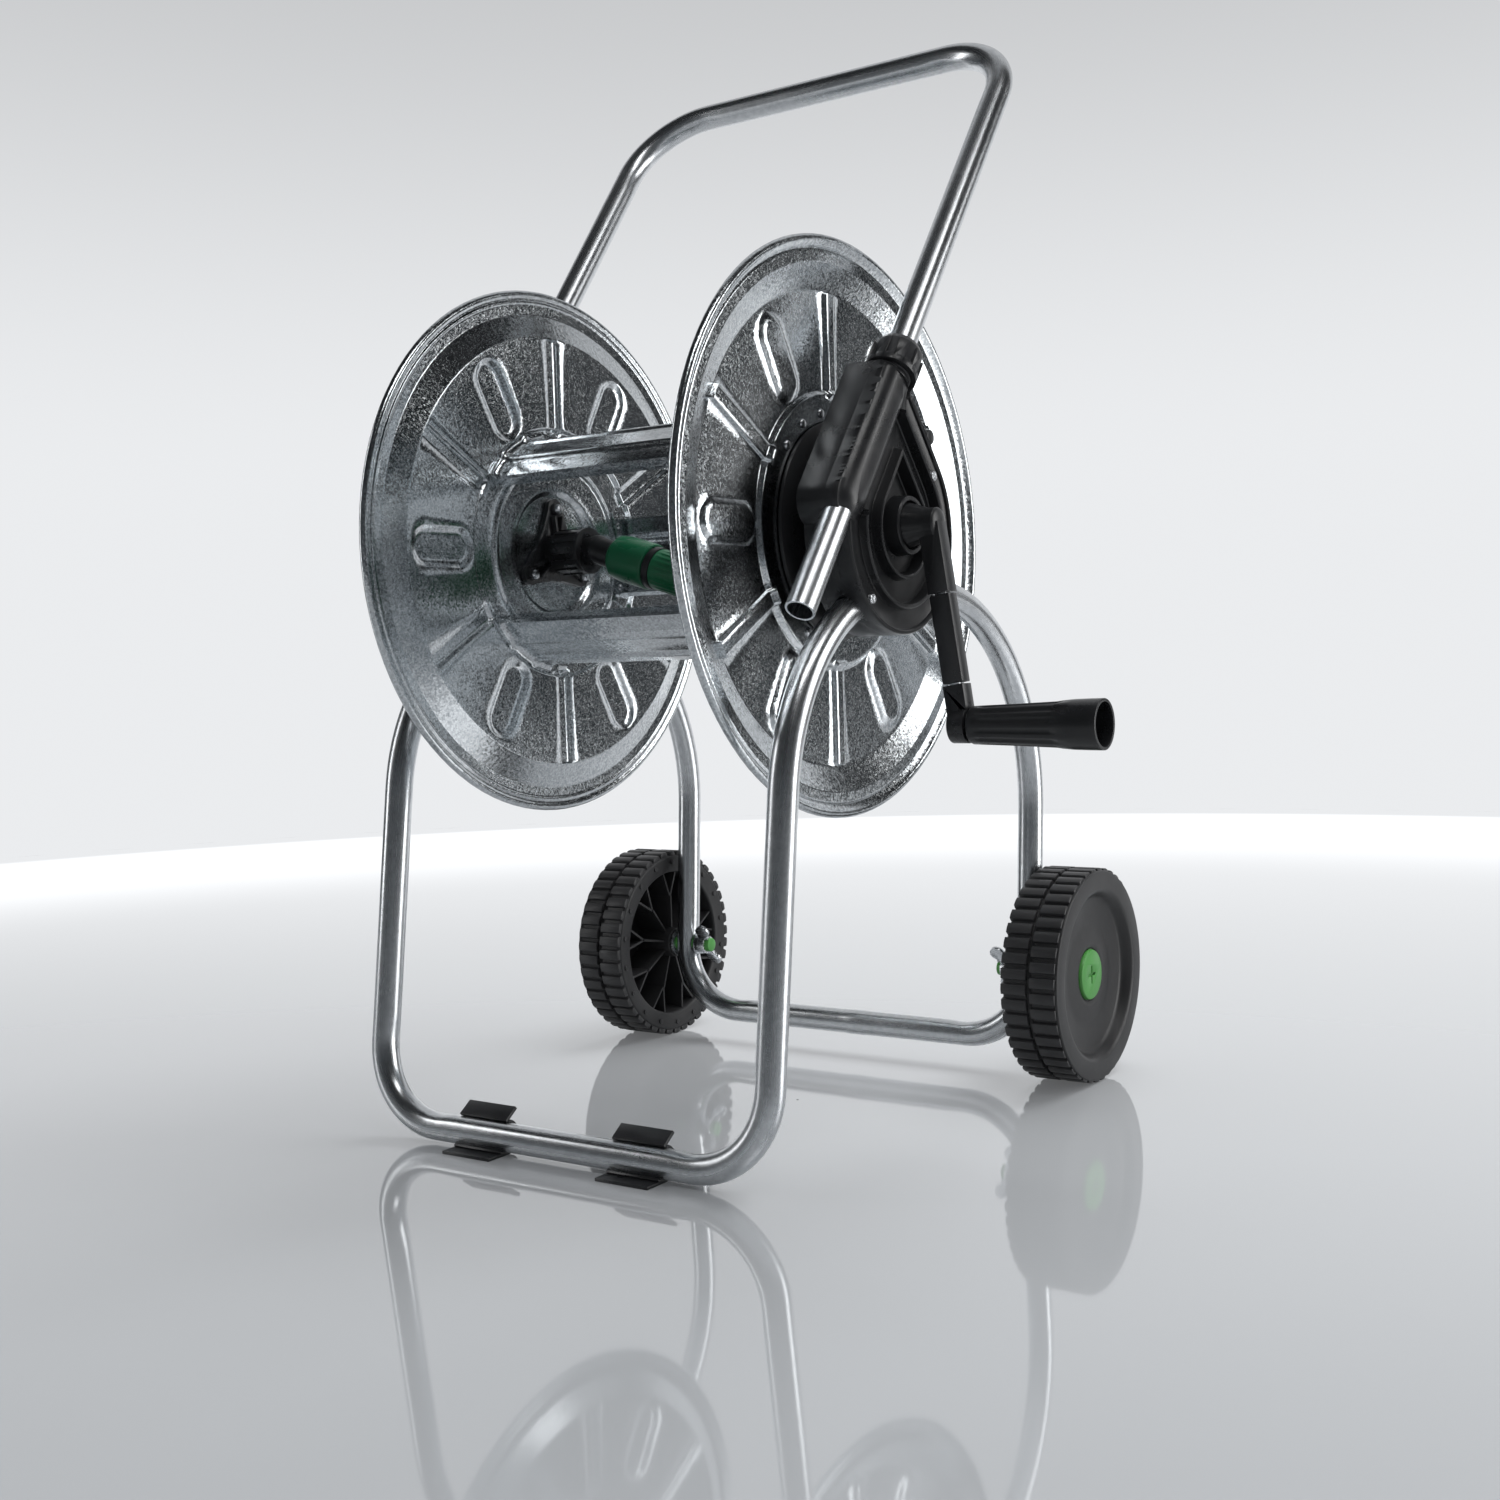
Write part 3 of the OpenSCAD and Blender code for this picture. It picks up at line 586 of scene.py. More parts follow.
def on_handle(x, n, s):
    """A point on the leaning handle: n square to it, s along it, from the axle."""
    return Vector((x, *rotated(n, s, -LEAN_H)))


bar_s = (handle_top - handle_off * math.sin(LEAN_H)) / math.cos(LEAN_H)
handle_path = [(on_handle(x, -handle_off, s), bend) for x, s, bend in
               ((handle_x, handle_low, 0), (handle_x, bar_s, handle_r),
                (-handle_x, bar_s, handle_r), (-handle_x, handle_low, 0))]


def handle_shape(p, out):
    grow = 0
    s = p.dot(lean_up)
    if s > bar_s - 4:
        grow -= crush(abs(p.x) - (handle_x - handle_r - 4), -out.dot(lean_up))
    if abs(abs(p.x) - handle_x) < 1:
        grow -= crush(s - (bar_s - handle_r - 4), inwards(p, out))
    return grow


handle_mesh = tube(handle_path, tube_r, wall=1.5, longest=4, shape=handle_shape)
piece("handle_tube_piece", turn_out(handle_mesh), plated, "handle", "handle_tube", angle=60)

# %% [markdown]
# ### Outer half of the side housing
# The outer half is a moulded cover: a half-round channel for the handle tube on the front edge, and a nest
# of teardrop ridges with grooves between that stiffen it round the crank's boss. Every ridge is a circle
# with two straight tangents that meet in a point, so the cover is built from rings: each ring is one
# teardrop, seen from its centre, and has its own height. The channel rises out of them by its own rule.

# %% Side housing
CENTRE_Y, CENTRE_Z = -6.0, -3.0
REAR = math.radians(39.3)
FRONT = math.pi - LEAN_H
house_r, channel_w, channel_top, channel_low = 71.0, 17.3, 77.3, -30
seam_x, face_x, lip_x = 171.5, 188.0, 184.6


def tangent_reach(size, phi, normal):
    c = math.cos(phi - normal)
    return size / c if c > 1e-3 else 1e9


def drop(size, phi):
    """Distance from the centre to a teardrop of this radius."""
    if REAR < phi < FRONT:
        return min(tangent_reach(size, phi, REAR), tangent_reach(size, phi, FRONT))
    return size


def on_cover(phi, reach):
    return CENTRE_Y + reach * math.cos(phi), CENTRE_Z + reach * math.sin(phi)


def by_handle(y, z):
    """A point's place square to the handle, from the channel's middle, and along it."""
    n, s = rotated(y, z, LEAN_H)
    return n + handle_off, s


def round_reach(phi, y, z, radius):
    """Distance from the cover's centre to a circle round (y, z), or 0 where the ray misses it."""
    ey, ez = y - CENTRE_Y, z - CENTRE_Z
    b = ey * math.cos(phi) + ez * math.sin(phi)
    gap = radius ** 2 - (ey * ey + ez * ez - b * b)
    return b + math.sqrt(gap) if gap > 0 else 0


def ray_outline(phi, inset):
    """Distance to the housing's outline: round part, rear fairing and handle channel together."""
    reach = house_r - inset
    # the fairing is the teardrop's rear side, cut level with the channel's top
    cn, cs = rotated(CENTRE_Y, CENTRE_Z, LEAN_H)
    dn, ds = rotated(math.cos(phi), math.sin(phi), LEAN_H)
    far = min((channel_top - inset - cs) / ds if ds > 1e-3 else 1e9,
              (-(channel_w - inset) - handle_off - cn) / dn if dn < -1e-3 else 1e9)
    if REAR <= phi <= FRONT + 0.6:
        if phi < REAR + math.pi / 2 - 0.01:
            far = min(far, tangent_reach(house_r - inset, phi, REAR))
        if far < 1e8 and cs + far * ds >= channel_low:
            reach = max(reach, far)
    cap = on_handle(0, -handle_off, channel_low)
    return max(reach, round_reach(phi, cap.y, cap.z, channel_w - inset))


def channel_height(y, z):
    n, s = by_handle(y, z)
    if s < channel_low:
        n = math.hypot(n, s - channel_low)
    if abs(n) >= channel_w:
        return 0.0
    return 174.0 + 13.9 * math.sqrt(1 - (n / channel_w) ** 2)


def cover_mesh(side, hole):
    # (ring size, height): from the outer wall inwards, two ridges and the floors between them
    levels = [(68.6, lip_x), (67.8, lip_x - 0.6), (67.3, 182.4), (66.6, 182), (54.6, 182), (54.1, 182.8),
              (53.6, face_x - 1.2), (52.8, face_x - 0.6), (51.4, face_x - 0.6), (50.8, face_x - 1.2),
              (50.3, 179.6), (49.6, 179), (44, 179), (39, 179), (34.4, 179), (33.9, 179.8),
              (33.2, face_x - 2), (32.6, face_x - 1.4), (31.4, face_x - 1.4), (30.8, face_x - 2),
              (30.3, 177.6), (29.6, 177), (25.5, 177)]
    boss = [(4.2, 177), (3.9, 177.8), (3.2, face_x - 0.7), (2.6, face_x), (0.6, face_x),
            (0.1, face_x - 0.6), (0.05, 174), (0.05, seam_x)]
    count = 420
    angles = [-math.pi * 0.75 + 2 * math.pi * k / count for k in range(count)]
    # a ring point falls exactly on each corner of the outline and of the teardrops
    tops = [on_handle(0, n - handle_off, channel_top) for n in (-channel_w, channel_w)]
    corners = [math.atan2(p.z - CENTRE_Z, p.y - CENTRE_Y) for p in tops]
    for c in (*corners, (REAR + FRONT) / 2, REAR, FRONT):
        nearest = min(range(count), key=lambda i: abs(angles[i] - c))
        angles[nearest] = c
    points = []

    def put(phi, reach, height):
        points.append(at(side * height, *on_cover(phi, reach)))

    def shell_height(phi, reach, level):
        channel = channel_height(*on_cover(phi, reach))
        return channel if channel > 182 else max(level, channel)

    for phi in angles:
        put(phi, ray_outline(phi, 0.0), seam_x)
    for inset, drop_down in ((0.0, 1.6), (0.35, 0.6), (1.0, 0.0)):
        for phi in angles:
            reach = ray_outline(phi, inset)
            y, z = on_cover(phi, reach)
            if by_handle(y, z)[0] < channel_w * 0.98 and channel_height(y, z) > 0:
                round_edge = channel_height(*on_cover(phi, reach - 1.2))
                put(phi, reach, max(seam_x + 1, round_edge - drop_down))
            else:
                put(phi, reach, lip_x - drop_down)
    # between the outline and the first teardrop the channel has extra rings of its own
    for share in (0.15, 0.3, 0.45, 0.6, 0.75, 0.9):
        for phi in angles:
            outer, inner = ray_outline(phi, 1.0), min(drop(68.6, phi), ray_outline(phi, 1.2))
            reach = outer + (inner - outer) * share
            put(phi, reach, shell_height(phi, reach, lip_x if outer - inner < 3 else 176))
    for size, level in levels:
        for phi in angles:
            reach = min(drop(size, phi), ray_outline(phi, 1.2 + (68.6 - size) * 0.06))
            # the cover's top is closed by a wall under the collar nut
            under_nut = by_handle(*on_cover(phi, reach))[1] > channel_top - 3.5
            put(phi, reach, shell_height(phi, reach, lip_x if under_nut else level))
    # the boss is round about the axle, not about the teardrops' centre, and the flat back closes the shell
    for wider, level in boss:
        for phi in angles:
            put(phi, round_reach(phi, 0, 0, hole + wider), level)
    return turn_out(mesh_of(points, lattice(len(points) // count, count, closed=True)))


def neck_mesh(side):
    """The threaded neck that the collar nut screws onto, turned round the handle tube."""
    rows = [(10.3, 74), (14.6, 74), (14.6, 76.8)]
    for k in range(5):
        s = 77.6 + k * 2.6
        rows += [(14.2, s), (15.0, s + 0.7), (15.0, s + 1.3), (14.2, s + 2.0)]
    rows += [(13.8, 91.2), (12.6, 91.3), (10.3, 91.3)]
    points = []
    steps = 64
    for r, s in rows:
        for k in range(steps):
            t = 2 * math.pi * k / steps
            q = on_handle(handle_x + r * math.sin(t), r * math.cos(t) - handle_off, s)
            points.append(at(side * q.x, q.y, q.z))
    return turn_out(mesh_of(points, lattice(len(rows), steps, closed=True)))


for side, hole, name in ((1, 16.5, "housing_outer_right"), (-1, 13.0, "housing_outer_left")):
    piece(name + "_piece", join(cover_mesh(side, hole), neck_mesh(side)), black, "cart", name, angle=32)

# %% [markdown]
# ## Reel discs
# Each disc is one sheet pressed in a die: a deep well for the bearing, a level ring for the drum, a flat
# panel with six ribs and six rounded pockets, an outward sweeping band and a rolled rim. The section is
# turned round the axle, and inside the panel each point is pushed out by a soft-edged rule for ribs and
# pockets, so the folds are as round as a press makes them. Every ring has the same number of points, drawn
# together where a fold runs, so the edges of ribs and pockets stay crisp without a finer mesh elsewhere.

# %% Press a disc
def soft_step(edge0, edge1, value):
    t = np.clip((value - edge0) / (edge1 - edge0), 0, 1)
    return t * t * (3 - 2 * t)


def disc_level(r):
    """Distance of the plain turned sheet from the reel's middle."""
    x = 131.0 - 5.0 * soft_step(44, 50, r)
    x -= 1.5 * soft_step(68.5, 70.5, r) * (1 - soft_step(71.5, 73.5, r))
    x += 1.0 * soft_step(72, 76, r)
    x -= 3.0 * soft_step(93.6, 96.4, r)
    x += 6.6 * np.clip((r - 164) / 18, 0, 1)
    x -= 0.7 * soft_step(189.5, 190.5, r) * (1 - soft_step(191.5, 193, r))
    return x


RIB_IN, RIB_OUT, POCKET_R, POCKET_L = 5.2, 6.9, 15.4, 16.5


def pocket_half(radius, r):
    """Half width, at radius r, of the pocket's outline drawn in by some millimetres."""
    past = np.maximum(0, np.abs(r - 128) - POCKET_L)
    return np.sqrt(np.maximum(radius * radius - past * past, 0))


def pressings(r, turn):
    """How far ribs and pockets stand outwards at radius r and angle turn."""
    a = np.mod(turn + math.pi / 6, math.pi / 3) - math.pi / 6
    gap = np.hypot(r * np.sin(a), np.maximum(0, np.abs(r * np.cos(a) - 128) - POCKET_L))
    pocket = np.sin(np.clip((POCKET_R - gap) / 7.0, 0, 1) * math.pi / 2)
    a = np.mod(turn, math.pi / 3) - math.pi / 6
    side = np.abs(r * np.sin(a))
    rib = (1 - soft_step(RIB_IN, RIB_OUT, side)) * soft_step(90, 93, r) * (1 - soft_step(162.4, 163.8, r))
    return 3.0 * rib + 2.8 * pocket


def columns(r):
    """Angles for one ring, set out over half a pattern, from a pocket's middle to a rib's, and mirrored."""
    outer = math.asin(min(1, max(2.4, float(pocket_half(POCKET_R, r))) / r))
    inner = math.asin(min(1, max(1.2, float(pocket_half(POCKET_R - 7, r))) / r))
    rib_a, rib_b = (math.pi / 6 - math.asin(w / r) for w in (RIB_OUT, RIB_IN))
    stops = [(0, inner, 3), (inner, outer, 7), (outer, rib_a, 8), (rib_a, rib_b, 4), (rib_b, math.pi / 6, 2)]
    half = [start + (end - start) * k / n for start, end, n in stops for k in range(n)]
    full = half + [math.pi / 3 - t for t in [math.pi / 6] + half[:0:-1]]
    return np.array([t + math.pi / 3 * k for k in range(6) for t in full])


def disc_mesh(side):
    inner = np.concatenate([np.linspace(13, 44, 4), np.linspace(45, 50, 5), np.linspace(55, 67, 3),
                            np.linspace(68.5, 76, 9), np.linspace(80, 90, 4), np.linspace(91, 112, 26),
                            np.linspace(116, 140, 7), np.linspace(144, 163.2, 25), (163.7, 164.3, 165),
                            np.linspace(167, 180, 5), (181.4, 182, 182.6), np.linspace(184.5, 188.5, 3),
                            np.linspace(189.5, 193.5, 9)])
    back = np.concatenate([inner[:25], inner[25:51:2], inner[51:59], inner[59:83:2], inner[83:-5]])
    rows = [(r, disc_level(r), 1.0) for r in inner]
    rim_x, rim_c = float(disc_level(193.5)) + 1.8, 196.9
    for k in range(15):
        t = math.radians(-135 + 265 * k / 14)
        rows.append((rim_c + 3.1 * math.cos(t), rim_x + 3.1 * math.sin(t), 0.0))
    rows += [(r, disc_level(r) + 1.0, 1.0) for r in back[::-1]]
    angles = np.array([columns(max(60.0, float(r))) for r, x, pressed in rows])
    r, x, pressed = (np.array(c, float)[:, None] for c in zip(*rows))
    x = x + pressed * pressings(r, angles)
    points = np.stack([side * x, r * np.cos(angles), r * np.sin(angles)], -1).reshape(-1, 3)
    points = points * MM + np.array(axle)
    count, steps = angles.shape
    i, k = np.meshgrid(np.arange(count), np.arange(steps), indexing="ij")
    j, m = (i + 1) % count, (k + 1) % steps
    quads = np.stack([i * steps + k, i * steps + m, j * steps + m, j * steps + k], -1).reshape(-1, 4)
    return mesh_of(points, (quads if side > 0 else quads[:, ::-1]).tolist())


for side, name in ((1, "disc_right"), (-1, "disc_left")):
    made = turn_out(disc_mesh(side))
    piece(name + "_piece", made, galvanised, "reel", name, angle=50)

# %% [markdown]
# ## Drum channels
# Three folded channels join the discs and make an open drum. A channel is a strip of the same sheet with
# two long beads for stiffness and its edges folded in. Near each disc it curves outwards into a wider foot,
# which lies on the disc for the rivets. The section is drawn once and carried from disc to disc.

# %% Fold a channel
def channel_mesh(angle):
    middle = []
    for a in np.radians(np.linspace(-21, 21, 61)):
        lift = sum(2.2 * math.exp(-((a - b) * 87 / 3.0) ** 2) for b in (math.radians(9), math.radians(-9)))
        middle.append((86.3 + lift, a))
    fold = [(78 + t * 7.0, math.radians(21.9)) for t in (0, 0.35, 0.7, 1)]
    middle = [(r, -a) for r, a in fold] + middle + fold[::-1]
    flat = [(r * math.cos(a), r * math.sin(a)) for r, a in middle]
    outer, inside = [], []
    for i, (y, z) in enumerate(flat):
        a, b = flat[max(0, i - 1)], flat[min(len(flat) - 1, i + 1)]
        ty, tz = b[0] - a[0], b[1] - a[1]
        size = math.hypot(ty, tz)
        ny, nz = tz / size * 0.6, -ty / size * 0.6
        outer.append((y + ny, z + nz))
        inside.append((y - ny, z - nz))
    ring = outer + inside[::-1]
    turned = [rotated(y, z, angle) for y, z in ring]
    points, faces = [], []
    ends = [118.0, 120.4, 122.4, 123.9, 124.9, 125.4, 125.6]
    stations = [-x for x in ends[::-1]] + [0.0] + ends
    for x in stations:
        # the strip curves out into its feet
        flare = 1 + 5.2 / 87 * (1 - math.sqrt(max(0, 1 - (max(0, abs(x) - 118) / 7.6) ** 2)))
        points += [at(x, y * flare, z * flare) for y, z in turned]
    n = len(ring)
    faces += lattice(len(stations), n)
    half = n // 2
    for s in (0, len(stations) - 1):
        for k in range(half - 1):
            faces.append((s * n + k, s * n + k + 1, s * n + n - 2 - k, s * n + n - 1 - k))
    # the feet: ring sectors lying on the discs
    for side in (-1, 1):
        x0, x1 = side * 125.55, side * 126.8
        base = len(points)
        outline = []
        for edge, way in ((92.3, 1), (76.5, -1)):
            outline += [(edge - way * 1.5 * abs(share) ** 8, way * share * math.radians(27))
                        for share in np.linspace(-1, 1, 29)]
        for x in (x0, x1):
            points += [at(x, r * math.cos(a + angle), r * math.sin(a + angle)) for r, a in outline]
        c = len(outline)
        faces += lattice(2, c, base=base)
        for shift in (0, c):
            low, high = base + shift, base + shift + c - 1
            faces += [(low + k, low + k + 1, high - 1 - k, high - k) for k in range(c // 2 - 1)]
    return turn_out(mesh_of(points, faces))


for name, degrees in (("drum_channel_front", 120), ("drum_channel_low", 240), ("drum_channel_rear", 0)):
    piece(name + "_piece", channel_mesh(math.radians(degrees)), galvanised, "reel", name, angle=40)

# %% [markdown]
# ## Repeat around an axle
# Lugs, spokes and pins all repeat round an axle. One Geometry Nodes tree does it: it makes as
# many points as asked, puts the incoming shape on each, turned a step further about X, and makes them
# real. The shape is moved to the axle's centre first and back afterwards, so it turns about the right line.

# %% Build the repeating tree
def around_tree():
    tree = bpy.data.node_groups.new("repeat_around_axle", "GeometryNodeTree")
    face = tree.interface
    face.new_socket("Shape", in_out="INPUT", socket_type="NodeSocketGeometry")
    for label, kind in (("Count", "NodeSocketInt"), ("Start turn", "NodeSocketFloat"),
                        ("Centre", "NodeSocketVector"), ("Finish", "NodeSocketMaterial")):
        face.new_socket(label, in_out="INPUT", socket_type=kind)
    face.new_socket("Shape", in_out="OUTPUT", socket_type="NodeSocketGeometry")

    def node(kind, inputs, **settings):
        made = tree.nodes.new(kind)
        for key, value in settings.items():
            setattr(made, key, value)
        for key, value in inputs.items():
            if isinstance(value, bpy.types.NodeSocket):
                tree.links.new(value, made.inputs[key])
            else:
                made.inputs[key].default_value = value
        return made.outputs[0] if made.outputs else None

    given = tree.nodes.new("NodeGroupInput").outputs
    minus = node("ShaderNodeVectorMath", {0: given["Centre"], "Scale": -1}, operation="SCALE")
    home = node("GeometryNodeTransform", {"Geometry": given["Shape"], "Translation": minus})
    dots = node("GeometryNodePoints", {"Count": given["Count"]})
    index = node("GeometryNodeInputIndex", {})
    step = node("ShaderNodeMath", {0: 2 * math.pi, 1: given["Count"]}, operation="DIVIDE")
    turn = node("ShaderNodeMath", {0: index, 1: step, 2: given["Start turn"]}, operation="MULTIPLY_ADD")
    angle = node("ShaderNodeCombineXYZ", {0: turn})
    put = node("GeometryNodeInstanceOnPoints", {"Points": dots, "Instance": home, "Rotation": angle})
    real = node("GeometryNodeRealizeInstances", {0: put})
    away = node("GeometryNodeTransform", {"Geometry": real, "Translation": given["Centre"]})
    coat = node("GeometryNodeSetMaterial", {"Geometry": away, "Material": given["Finish"]})
    node("NodeGroupOutput", {0: coat})
    return tree


around = around_tree()


def repeat(mesh, count, centre, material, start_turn=0.0):
    thing = placed("work", mesh)
    modifier = thing.modifiers.new("repeat", "NODES")
    modifier.node_group = around
    values = {"Count": count, "Start turn": start_turn, "Centre": tuple(centre), "Finish": material}
    for item in around.interface.items_tree:
        if item.in_out == "INPUT" and item.name in values:
            modifier[item.identifier] = values[item.name]
    return bake(thing)


print("tree nodes", len(around.nodes))

# %% [markdown]
# ## Turned shapes
# Wheels and grips are turned round the X axis, so one helper revolves a section of (radius, x) points. It
# rounds each corner of the section by a small arc first, as a mould would.

# %% Revolve a section
def round_corners(section, radius, steps=3, closed=True):
    out = []
    n = len(section)
    for i in range(n):
        p = Vector((*section[i][:2], 0))
        r = section[i][2] if len(section[i]) > 2 else radius
        if r <= 0 or (not closed and i in (0, n - 1)):
            out.append((p.x, p.y))
            continue
        a = Vector((*section[i - 1][:2], 0)) - p
        b = Vector((*section[(i + 1) % n][:2], 0)) - p
        cut = min(r, a.length * 0.45, b.length * 0.45)
        a, b = a.normalized() * cut, b.normalized() * cut
        for k in range(steps + 1):
            t = k / steps
            q = p + a * (1 - t) ** 2 + b * t ** 2
            out.append((q.x, q.y))
    return out


def revolve(section, centre, side, steps):
    points = []
    for r, x in section:
        for k in range(steps):
            t = 2 * math.pi * k / steps
            points.append(Vector((side * x, r * math.cos(t), r * math.sin(t))) * MM + centre)
    return turn_out(mesh_of(points, lattice(len(section), steps, closed=True)))


print("turning helpers ready")

# %% [markdown]
# ## Wheels
# The wheel is one moulding: a deep web with a hub, a rim, and two rows of blocky lugs set half a step
# apart with a groove between. Its outer face is closed and dished, its inner face open, with nine forked
# ribs and a ring of small pins. The body is turned, and lugs, ribs and pins are repeated by the tree.

# %% Wheels
wheel_lo, wheel_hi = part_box("wheel_right")
wheel_c = Vector((axle.x, (wheel_lo.y + wheel_hi.y) / 2, (wheel_lo.z + wheel_hi.z) / 2))
wheel_r = (wheel_hi.z - wheel_lo.z) / 2 / MM
w0, w1 = 182.0, (wheel_hi.x - axle.x) / MM
mid = (w0 + w1) / 2
web = w1 - 9
lug_h = 3
rim_r = wheel_r - lug_h
bore = 6.1
lugs = 44


def box_mesh(x0, x1, outline, centre, side):
    """A block pushed along X from an outline of (y, z) points."""
    n = len(outline)
    points = [Vector((side * x, y, z)) * MM + centre for x in (x0, x1) for y, z in outline]
    faces = [tuple(range(n)), tuple(range(n, 2 * n))]
    faces += [(k, (k + 1) % n, n + (k + 1) % n, n + k) for k in range(n)]
    return turn_out(mesh_of(points, faces))


def wheel_mesh(side):
    pitch = 2 * math.pi * wheel_r / lugs
    body = [(bore, w0 - 1.6), (13, w0 - 1.6), (15.5, web - 4, 2), (60, web - 4, 3), (64, w0 + 2, 2),
            (rim_r - 2.6, w0 + 1), (rim_r, w0 + 3, 1), (rim_r, mid - 2.4), (rim_r - 1.2, mid - 1.6),
            (rim_r - 1.2, mid + 1.6), (rim_r, mid + 2.4), (rim_r, w1 - 3, 1), (rim_r + 1.2, w1 - 1.8, 1),
            (rim_r + 0.6, w1, 1), (66, w1, 2), (63, w1 - 3.5, 2), (60, web + 0.5, 4), (40, web - 1.2, 3),
            (24, web + 0.8, 2), (21, web, 1), (20.6, web - 1), (bore, web - 1)]
    meshes = [revolve(round_corners(body, 0.8), wheel_c, side, 4 * lugs)]
    for x0, x1, start in ((w0 + 1.4, mid - 1.5, 0.0), (mid + 1.5, w1 - 1.6, math.pi / lugs)):
        wide, top = 0.39 * pitch, 0.33 * pitch
        outline = [(rim_r - 1.5, -wide), (wheel_r - 0.5, -top), (wheel_r, 0), (wheel_r - 0.5, top),
                   (rim_r - 1.5, wide)]
        lug = soften(box_mesh(x0, x1, outline, wheel_c, side), 0.55)
        meshes.append(repeat(lug, lugs, wheel_c, tyre_black, start))
    rib = [(13, -0.9), (42, -0.9), (42, 0.9), (13, 0.9)]
    straight = box_mesh(w0 + 4, web - 3, rib, wheel_c, side)
    forks = []
    for turn in (22, -22):
        ends = [rotated(y, z, math.radians(turn)) for y, z in ((0, -0.9), (26, -0.9), (26, 0.9), (0, 0.9))]
        forks.append(box_mesh(w0 + 5, web - 3, [(41 + y, z) for y, z in ends], wheel_c, side))
    meshes.append(repeat(join(straight, *forks), 9, wheel_c, tyre_black, math.radians(10)))
    pin_c = wheel_c + Vector((0, 73 * MM, 0))
    pin_line = [(0.01, w0 + 0.2), (2.2, w0 + 0.2), (2.2, w0 + 3), (0.01, w0 + 3)]
    pin = revolve(round_corners(pin_line, 0.4), pin_c, side, 12)
    meshes.append(repeat(pin, 18, wheel_c, tyre_black, math.radians(10)))
    return join(*meshes)


for side, name in ((1, "wheel_right"), (-1, "wheel_left")):
    piece(name + "_piece", wheel_mesh(side), tyre_black, name, name, angle=35)

# %% [markdown]
# ## Crank grip
# The grip widens towards its open end and has long flutes for the fingers, which fade out at both ends.

# %% Crank grip
grip_lo, grip_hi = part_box("crank_grip")
grip_c = Vector((grip_lo.x, (grip_lo.y + grip_hi.y) / 2, (grip_lo.z + grip_hi.z) / 2))
grip_l = (grip_hi.x - grip_lo.x) / MM
grip_r = (grip_hi.z - grip_lo.z) / 2 / MM
skirt = [(4.1, 0.4), (grip_r - 5, 0.4), (grip_r - 3.9, 2)]
skirt += [(grip_r - 3.9 + 0.9 * t, 2 + 28 * t) for t in (0.33, 0.66, 1)]
skirt += [(grip_r - 3.0 + 1.3 * t, 30 + 32 * t) for t in np.linspace(0.1, 1, 8)]
skirt += [(grip_r - 1.0, 67), (grip_r - 0.4, 74), (grip_r - 0.1, 85), (grip_r, grip_l),
          (grip_r - 2.2, grip_l), (grip_r - 3, grip_l - 28), (4.1, grip_l - 28)]


def flutes(x, t):
    if x < 5 or x > 70:
        return 0
    fade = min(1, (x - 5) / 6, (70 - x) / 8)
    wave = abs(((t / (2 * math.pi) * 12) % 1) - 0.5) * 2
    return 1.1 * fade * max(0, 1 - (wave / 0.62) ** 2)


spaced = []
for (r0, x0), (r1, x1) in zip(skirt, skirt[1:] + skirt[:1]):
    parts = max(1, int(math.hypot(r1 - r0, x1 - x0) / 4))
    spaced += [(r0 + (r1 - r0) * k / parts, x0 + (x1 - x0) * k / parts) for k in range(parts)]
grip_mesh = revolve(round_corners(spaced, 0.5, 2), grip_c, 1, 144)
for v in grip_mesh.vertices:
    local = (v.co - grip_c) / MM
    radius = math.hypot(local.y, local.z)
    if radius > grip_r - 4.6 and local.x < grip_l - 22:
        sunk = 1 - flutes(local.x, math.atan2(local.z, local.y)) / radius
        v.co = Vector((local.x, local.y * sunk, local.z * sunk)) * MM + grip_c
piece("crank_grip_piece", grip_mesh, black, "grip", "crank_grip", angle=45)

# %% [markdown]
# ## Studio
# The floor is a pale, polished sheet that runs up into a glowing paper wall, so no view has a hard
# horizon. Polished metal shows its surroundings, and a room that is pale all round would leave it flat.
# So only the wall behind the cart is seen in reflections. The rest of the bowl serves other camera
# angles, and metal sees a dark room there instead, with a few bright panels for the highlights.

# %% Floor and wall
def studio_paper():
    material, tree, shader = finish_base("studio_paper", (0.32, 0.331, 0.343), 0.0, 0.04, IOR=1.8)
    where = add(tree, "TexCoord").outputs["Object"]

    def distance(point):
        level = calc(tree, "MULTIPLY", where, (1, 1, 0), kind="VectorMath")
        return calc(tree, "DISTANCE", level, point, kind="VectorMath")

    height = add(tree, "SeparateXYZ", Vector=where).outputs[2]
    edge = ramp(tree, distance((0, 0, 0)), 0, 1, 1.4, 2.5, "SMOOTHSTEP")
    # painted light: the floor glows more the further it lies from the camera, and the wall's glow is painted
    # dimmer higher up
    behind = ramp(tree, distance((0.1, -1.1, 0)), 0, 1, 0.5, 3.0, "SMOOTHSTEP")
    far = calc(tree, "MAXIMUM", behind, edge)
    share = calc(tree, "MULTIPLY", far, ramp(tree, edge, 0.5, 1.0))
    glow = calc(tree, "MULTIPLY", share, ramp(tree, height, 0.86, 0.57, 0.9, 3.1, "SMOOTHSTEP"))
    tree.links.new(glow, shader.inputs["Emission Strength"])
    tree.links.new(tint(tree, far, (0.32, 0.331, 0.343), (0.0, 0.0, 0.0)), shader.inputs["Base Color"])
    tree.links.new(ramp(tree, edge, 0.5, 0.0), shader.inputs["Specular IOR Level"])
    shader.inputs["Emission Color"].default_value = (0.965, 0.98, 1.0, 1)
    return material


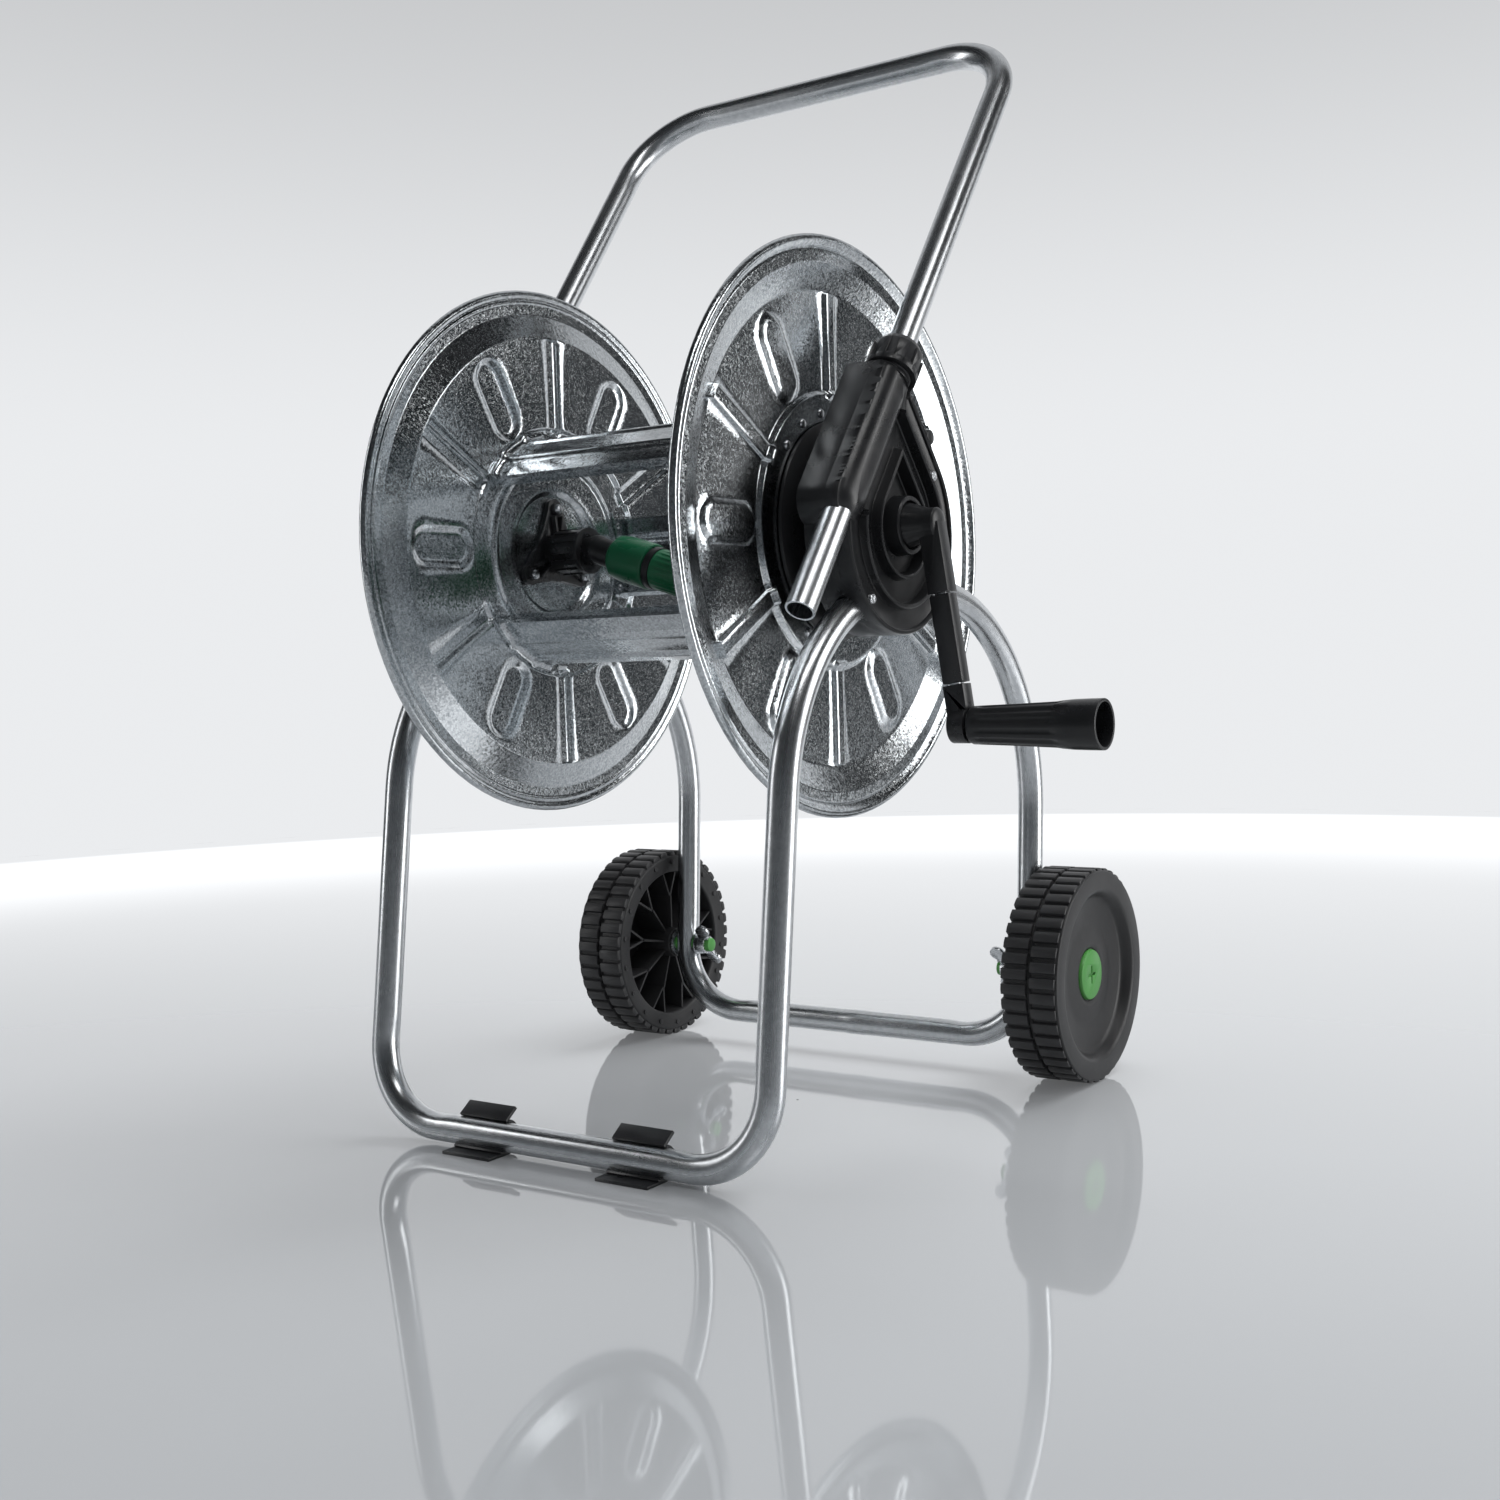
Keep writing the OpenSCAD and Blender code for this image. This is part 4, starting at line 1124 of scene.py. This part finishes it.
def bowl_mesh(start, end, section):
    """A section turned about the upright axis from one compass angle to another."""
    steps = max(12, round((end - start) / 3.75))
    columns = steps if end - start >= 360 else steps + 1
    points = []
    for r, z in section:
        for k in range(columns):
            t = math.radians(start + (end - start) * k / steps)
            points.append((r * math.cos(t), r * math.sin(t), z + floor_z))
    # a bowl that isn't closed has no face from its last column to its first
    quads = lattice(len(section), columns)
    mesh = mesh_of(points, [quad for i, quad in enumerate(quads, 1) if columns == steps or i % columns])
    smooth(mesh, 60)
    return mesh


flat_r, curve_r = 2.6, 2.2
floor_line = [(0.001, 0.0), (0.6, 0.0), (1.5, 0.0), (flat_r, 0.0)]
curve_line = [(flat_r + curve_r * math.sin(t), curve_r * (1 - math.cos(t)))
              for t in (math.pi / 32 * k for k in range(17))]
curve_line += [(4.8, 3.2), (4.6, 4.4), (3.8, 5.3), (2.2, 5.9), (0.001, 6.1)]
paper = studio_paper()
for name, start, end, line, mirrored in (("studio_floor", 0, 360, floor_line, True),
                                         ("studio_wall", 68, 162, curve_line, True),
                                         ("studio_room", 162, 428, curve_line, False)):
    stage = placed(name, bowl_mesh(start, end, line))
    stage.data.materials.append(paper)
    stage.visible_glossy = mirrored
    print(name, "faces", len(stage.data.polygons))

# %% [markdown]
# ### Lights
# A wide soft light overhead makes the floor bright but stays out of reflections. The strips are the ones
# that polished metal mirrors as long white lines. The world is only seen in reflections: dim grey at eye
# level, darkest to the back on the right where the discs look, and dark above.

# %% Lights
def panel(name, place, aim, wide, high, power, mirrored=True):
    light = bpy.data.lights.new(name, "AREA")
    light.shape, light.size, light.size_y = "RECTANGLE", wide, high
    light.energy = power
    lamp = placed(name, light)
    lamp.location = place
    lamp.rotation_mode = "QUATERNION"
    lamp.rotation_quaternion = (Vector(aim) - lamp.location).to_track_quat("-Z", "Y")
    lamp.visible_camera = False
    lamp.visible_glossy = mirrored


panel("overhead", (0.35, 1.2, 2.3), (0.3, 0.9, 0), 1.8, 1.8, 82, mirrored=False)
panel("right_strip", (1.95, 1.0, 0.75), (0, 0, 0.35), 1.0, 1.6, 20)
panel("left_strip", (-2.0, -1.3, 1.0), (0, 0, 0.4), 0.5, 1.8, 8)
panel("high_strip", (1.2, -0.6, 2.6), (0, 0, 0.5), 1.6, 0.5, 12)
world = bpy.data.worlds.new("room")
bpy.context.scene.world = world
world.use_nodes = True
sky = world.node_tree
ray = add(sky, "TexCoord").outputs["Generated"]
lift = add(sky, "SeparateXYZ", Vector=ray).outputs[2]
aside = calc(sky, "DOT_PRODUCT", ray, (0.62, 0.78, 0), kind="VectorMath")
level = ramp(sky, aside, 0.09, 0.045, 0.2, 0.85, "SMOOTHSTEP")
dim = ramp(sky, lift, 1.0, 0.25, -0.1, 0.7, "SMOOTHSTEP")
glow = calc(sky, "MULTIPLY", level, dim)
sky.links.new(glow, sky.nodes["Background"].inputs["Strength"])
sky.nodes["Background"].inputs["Color"].default_value = (0.86, 0.93, 1.0, 1)
bpy.context.scene.view_settings.view_transform = "Standard"
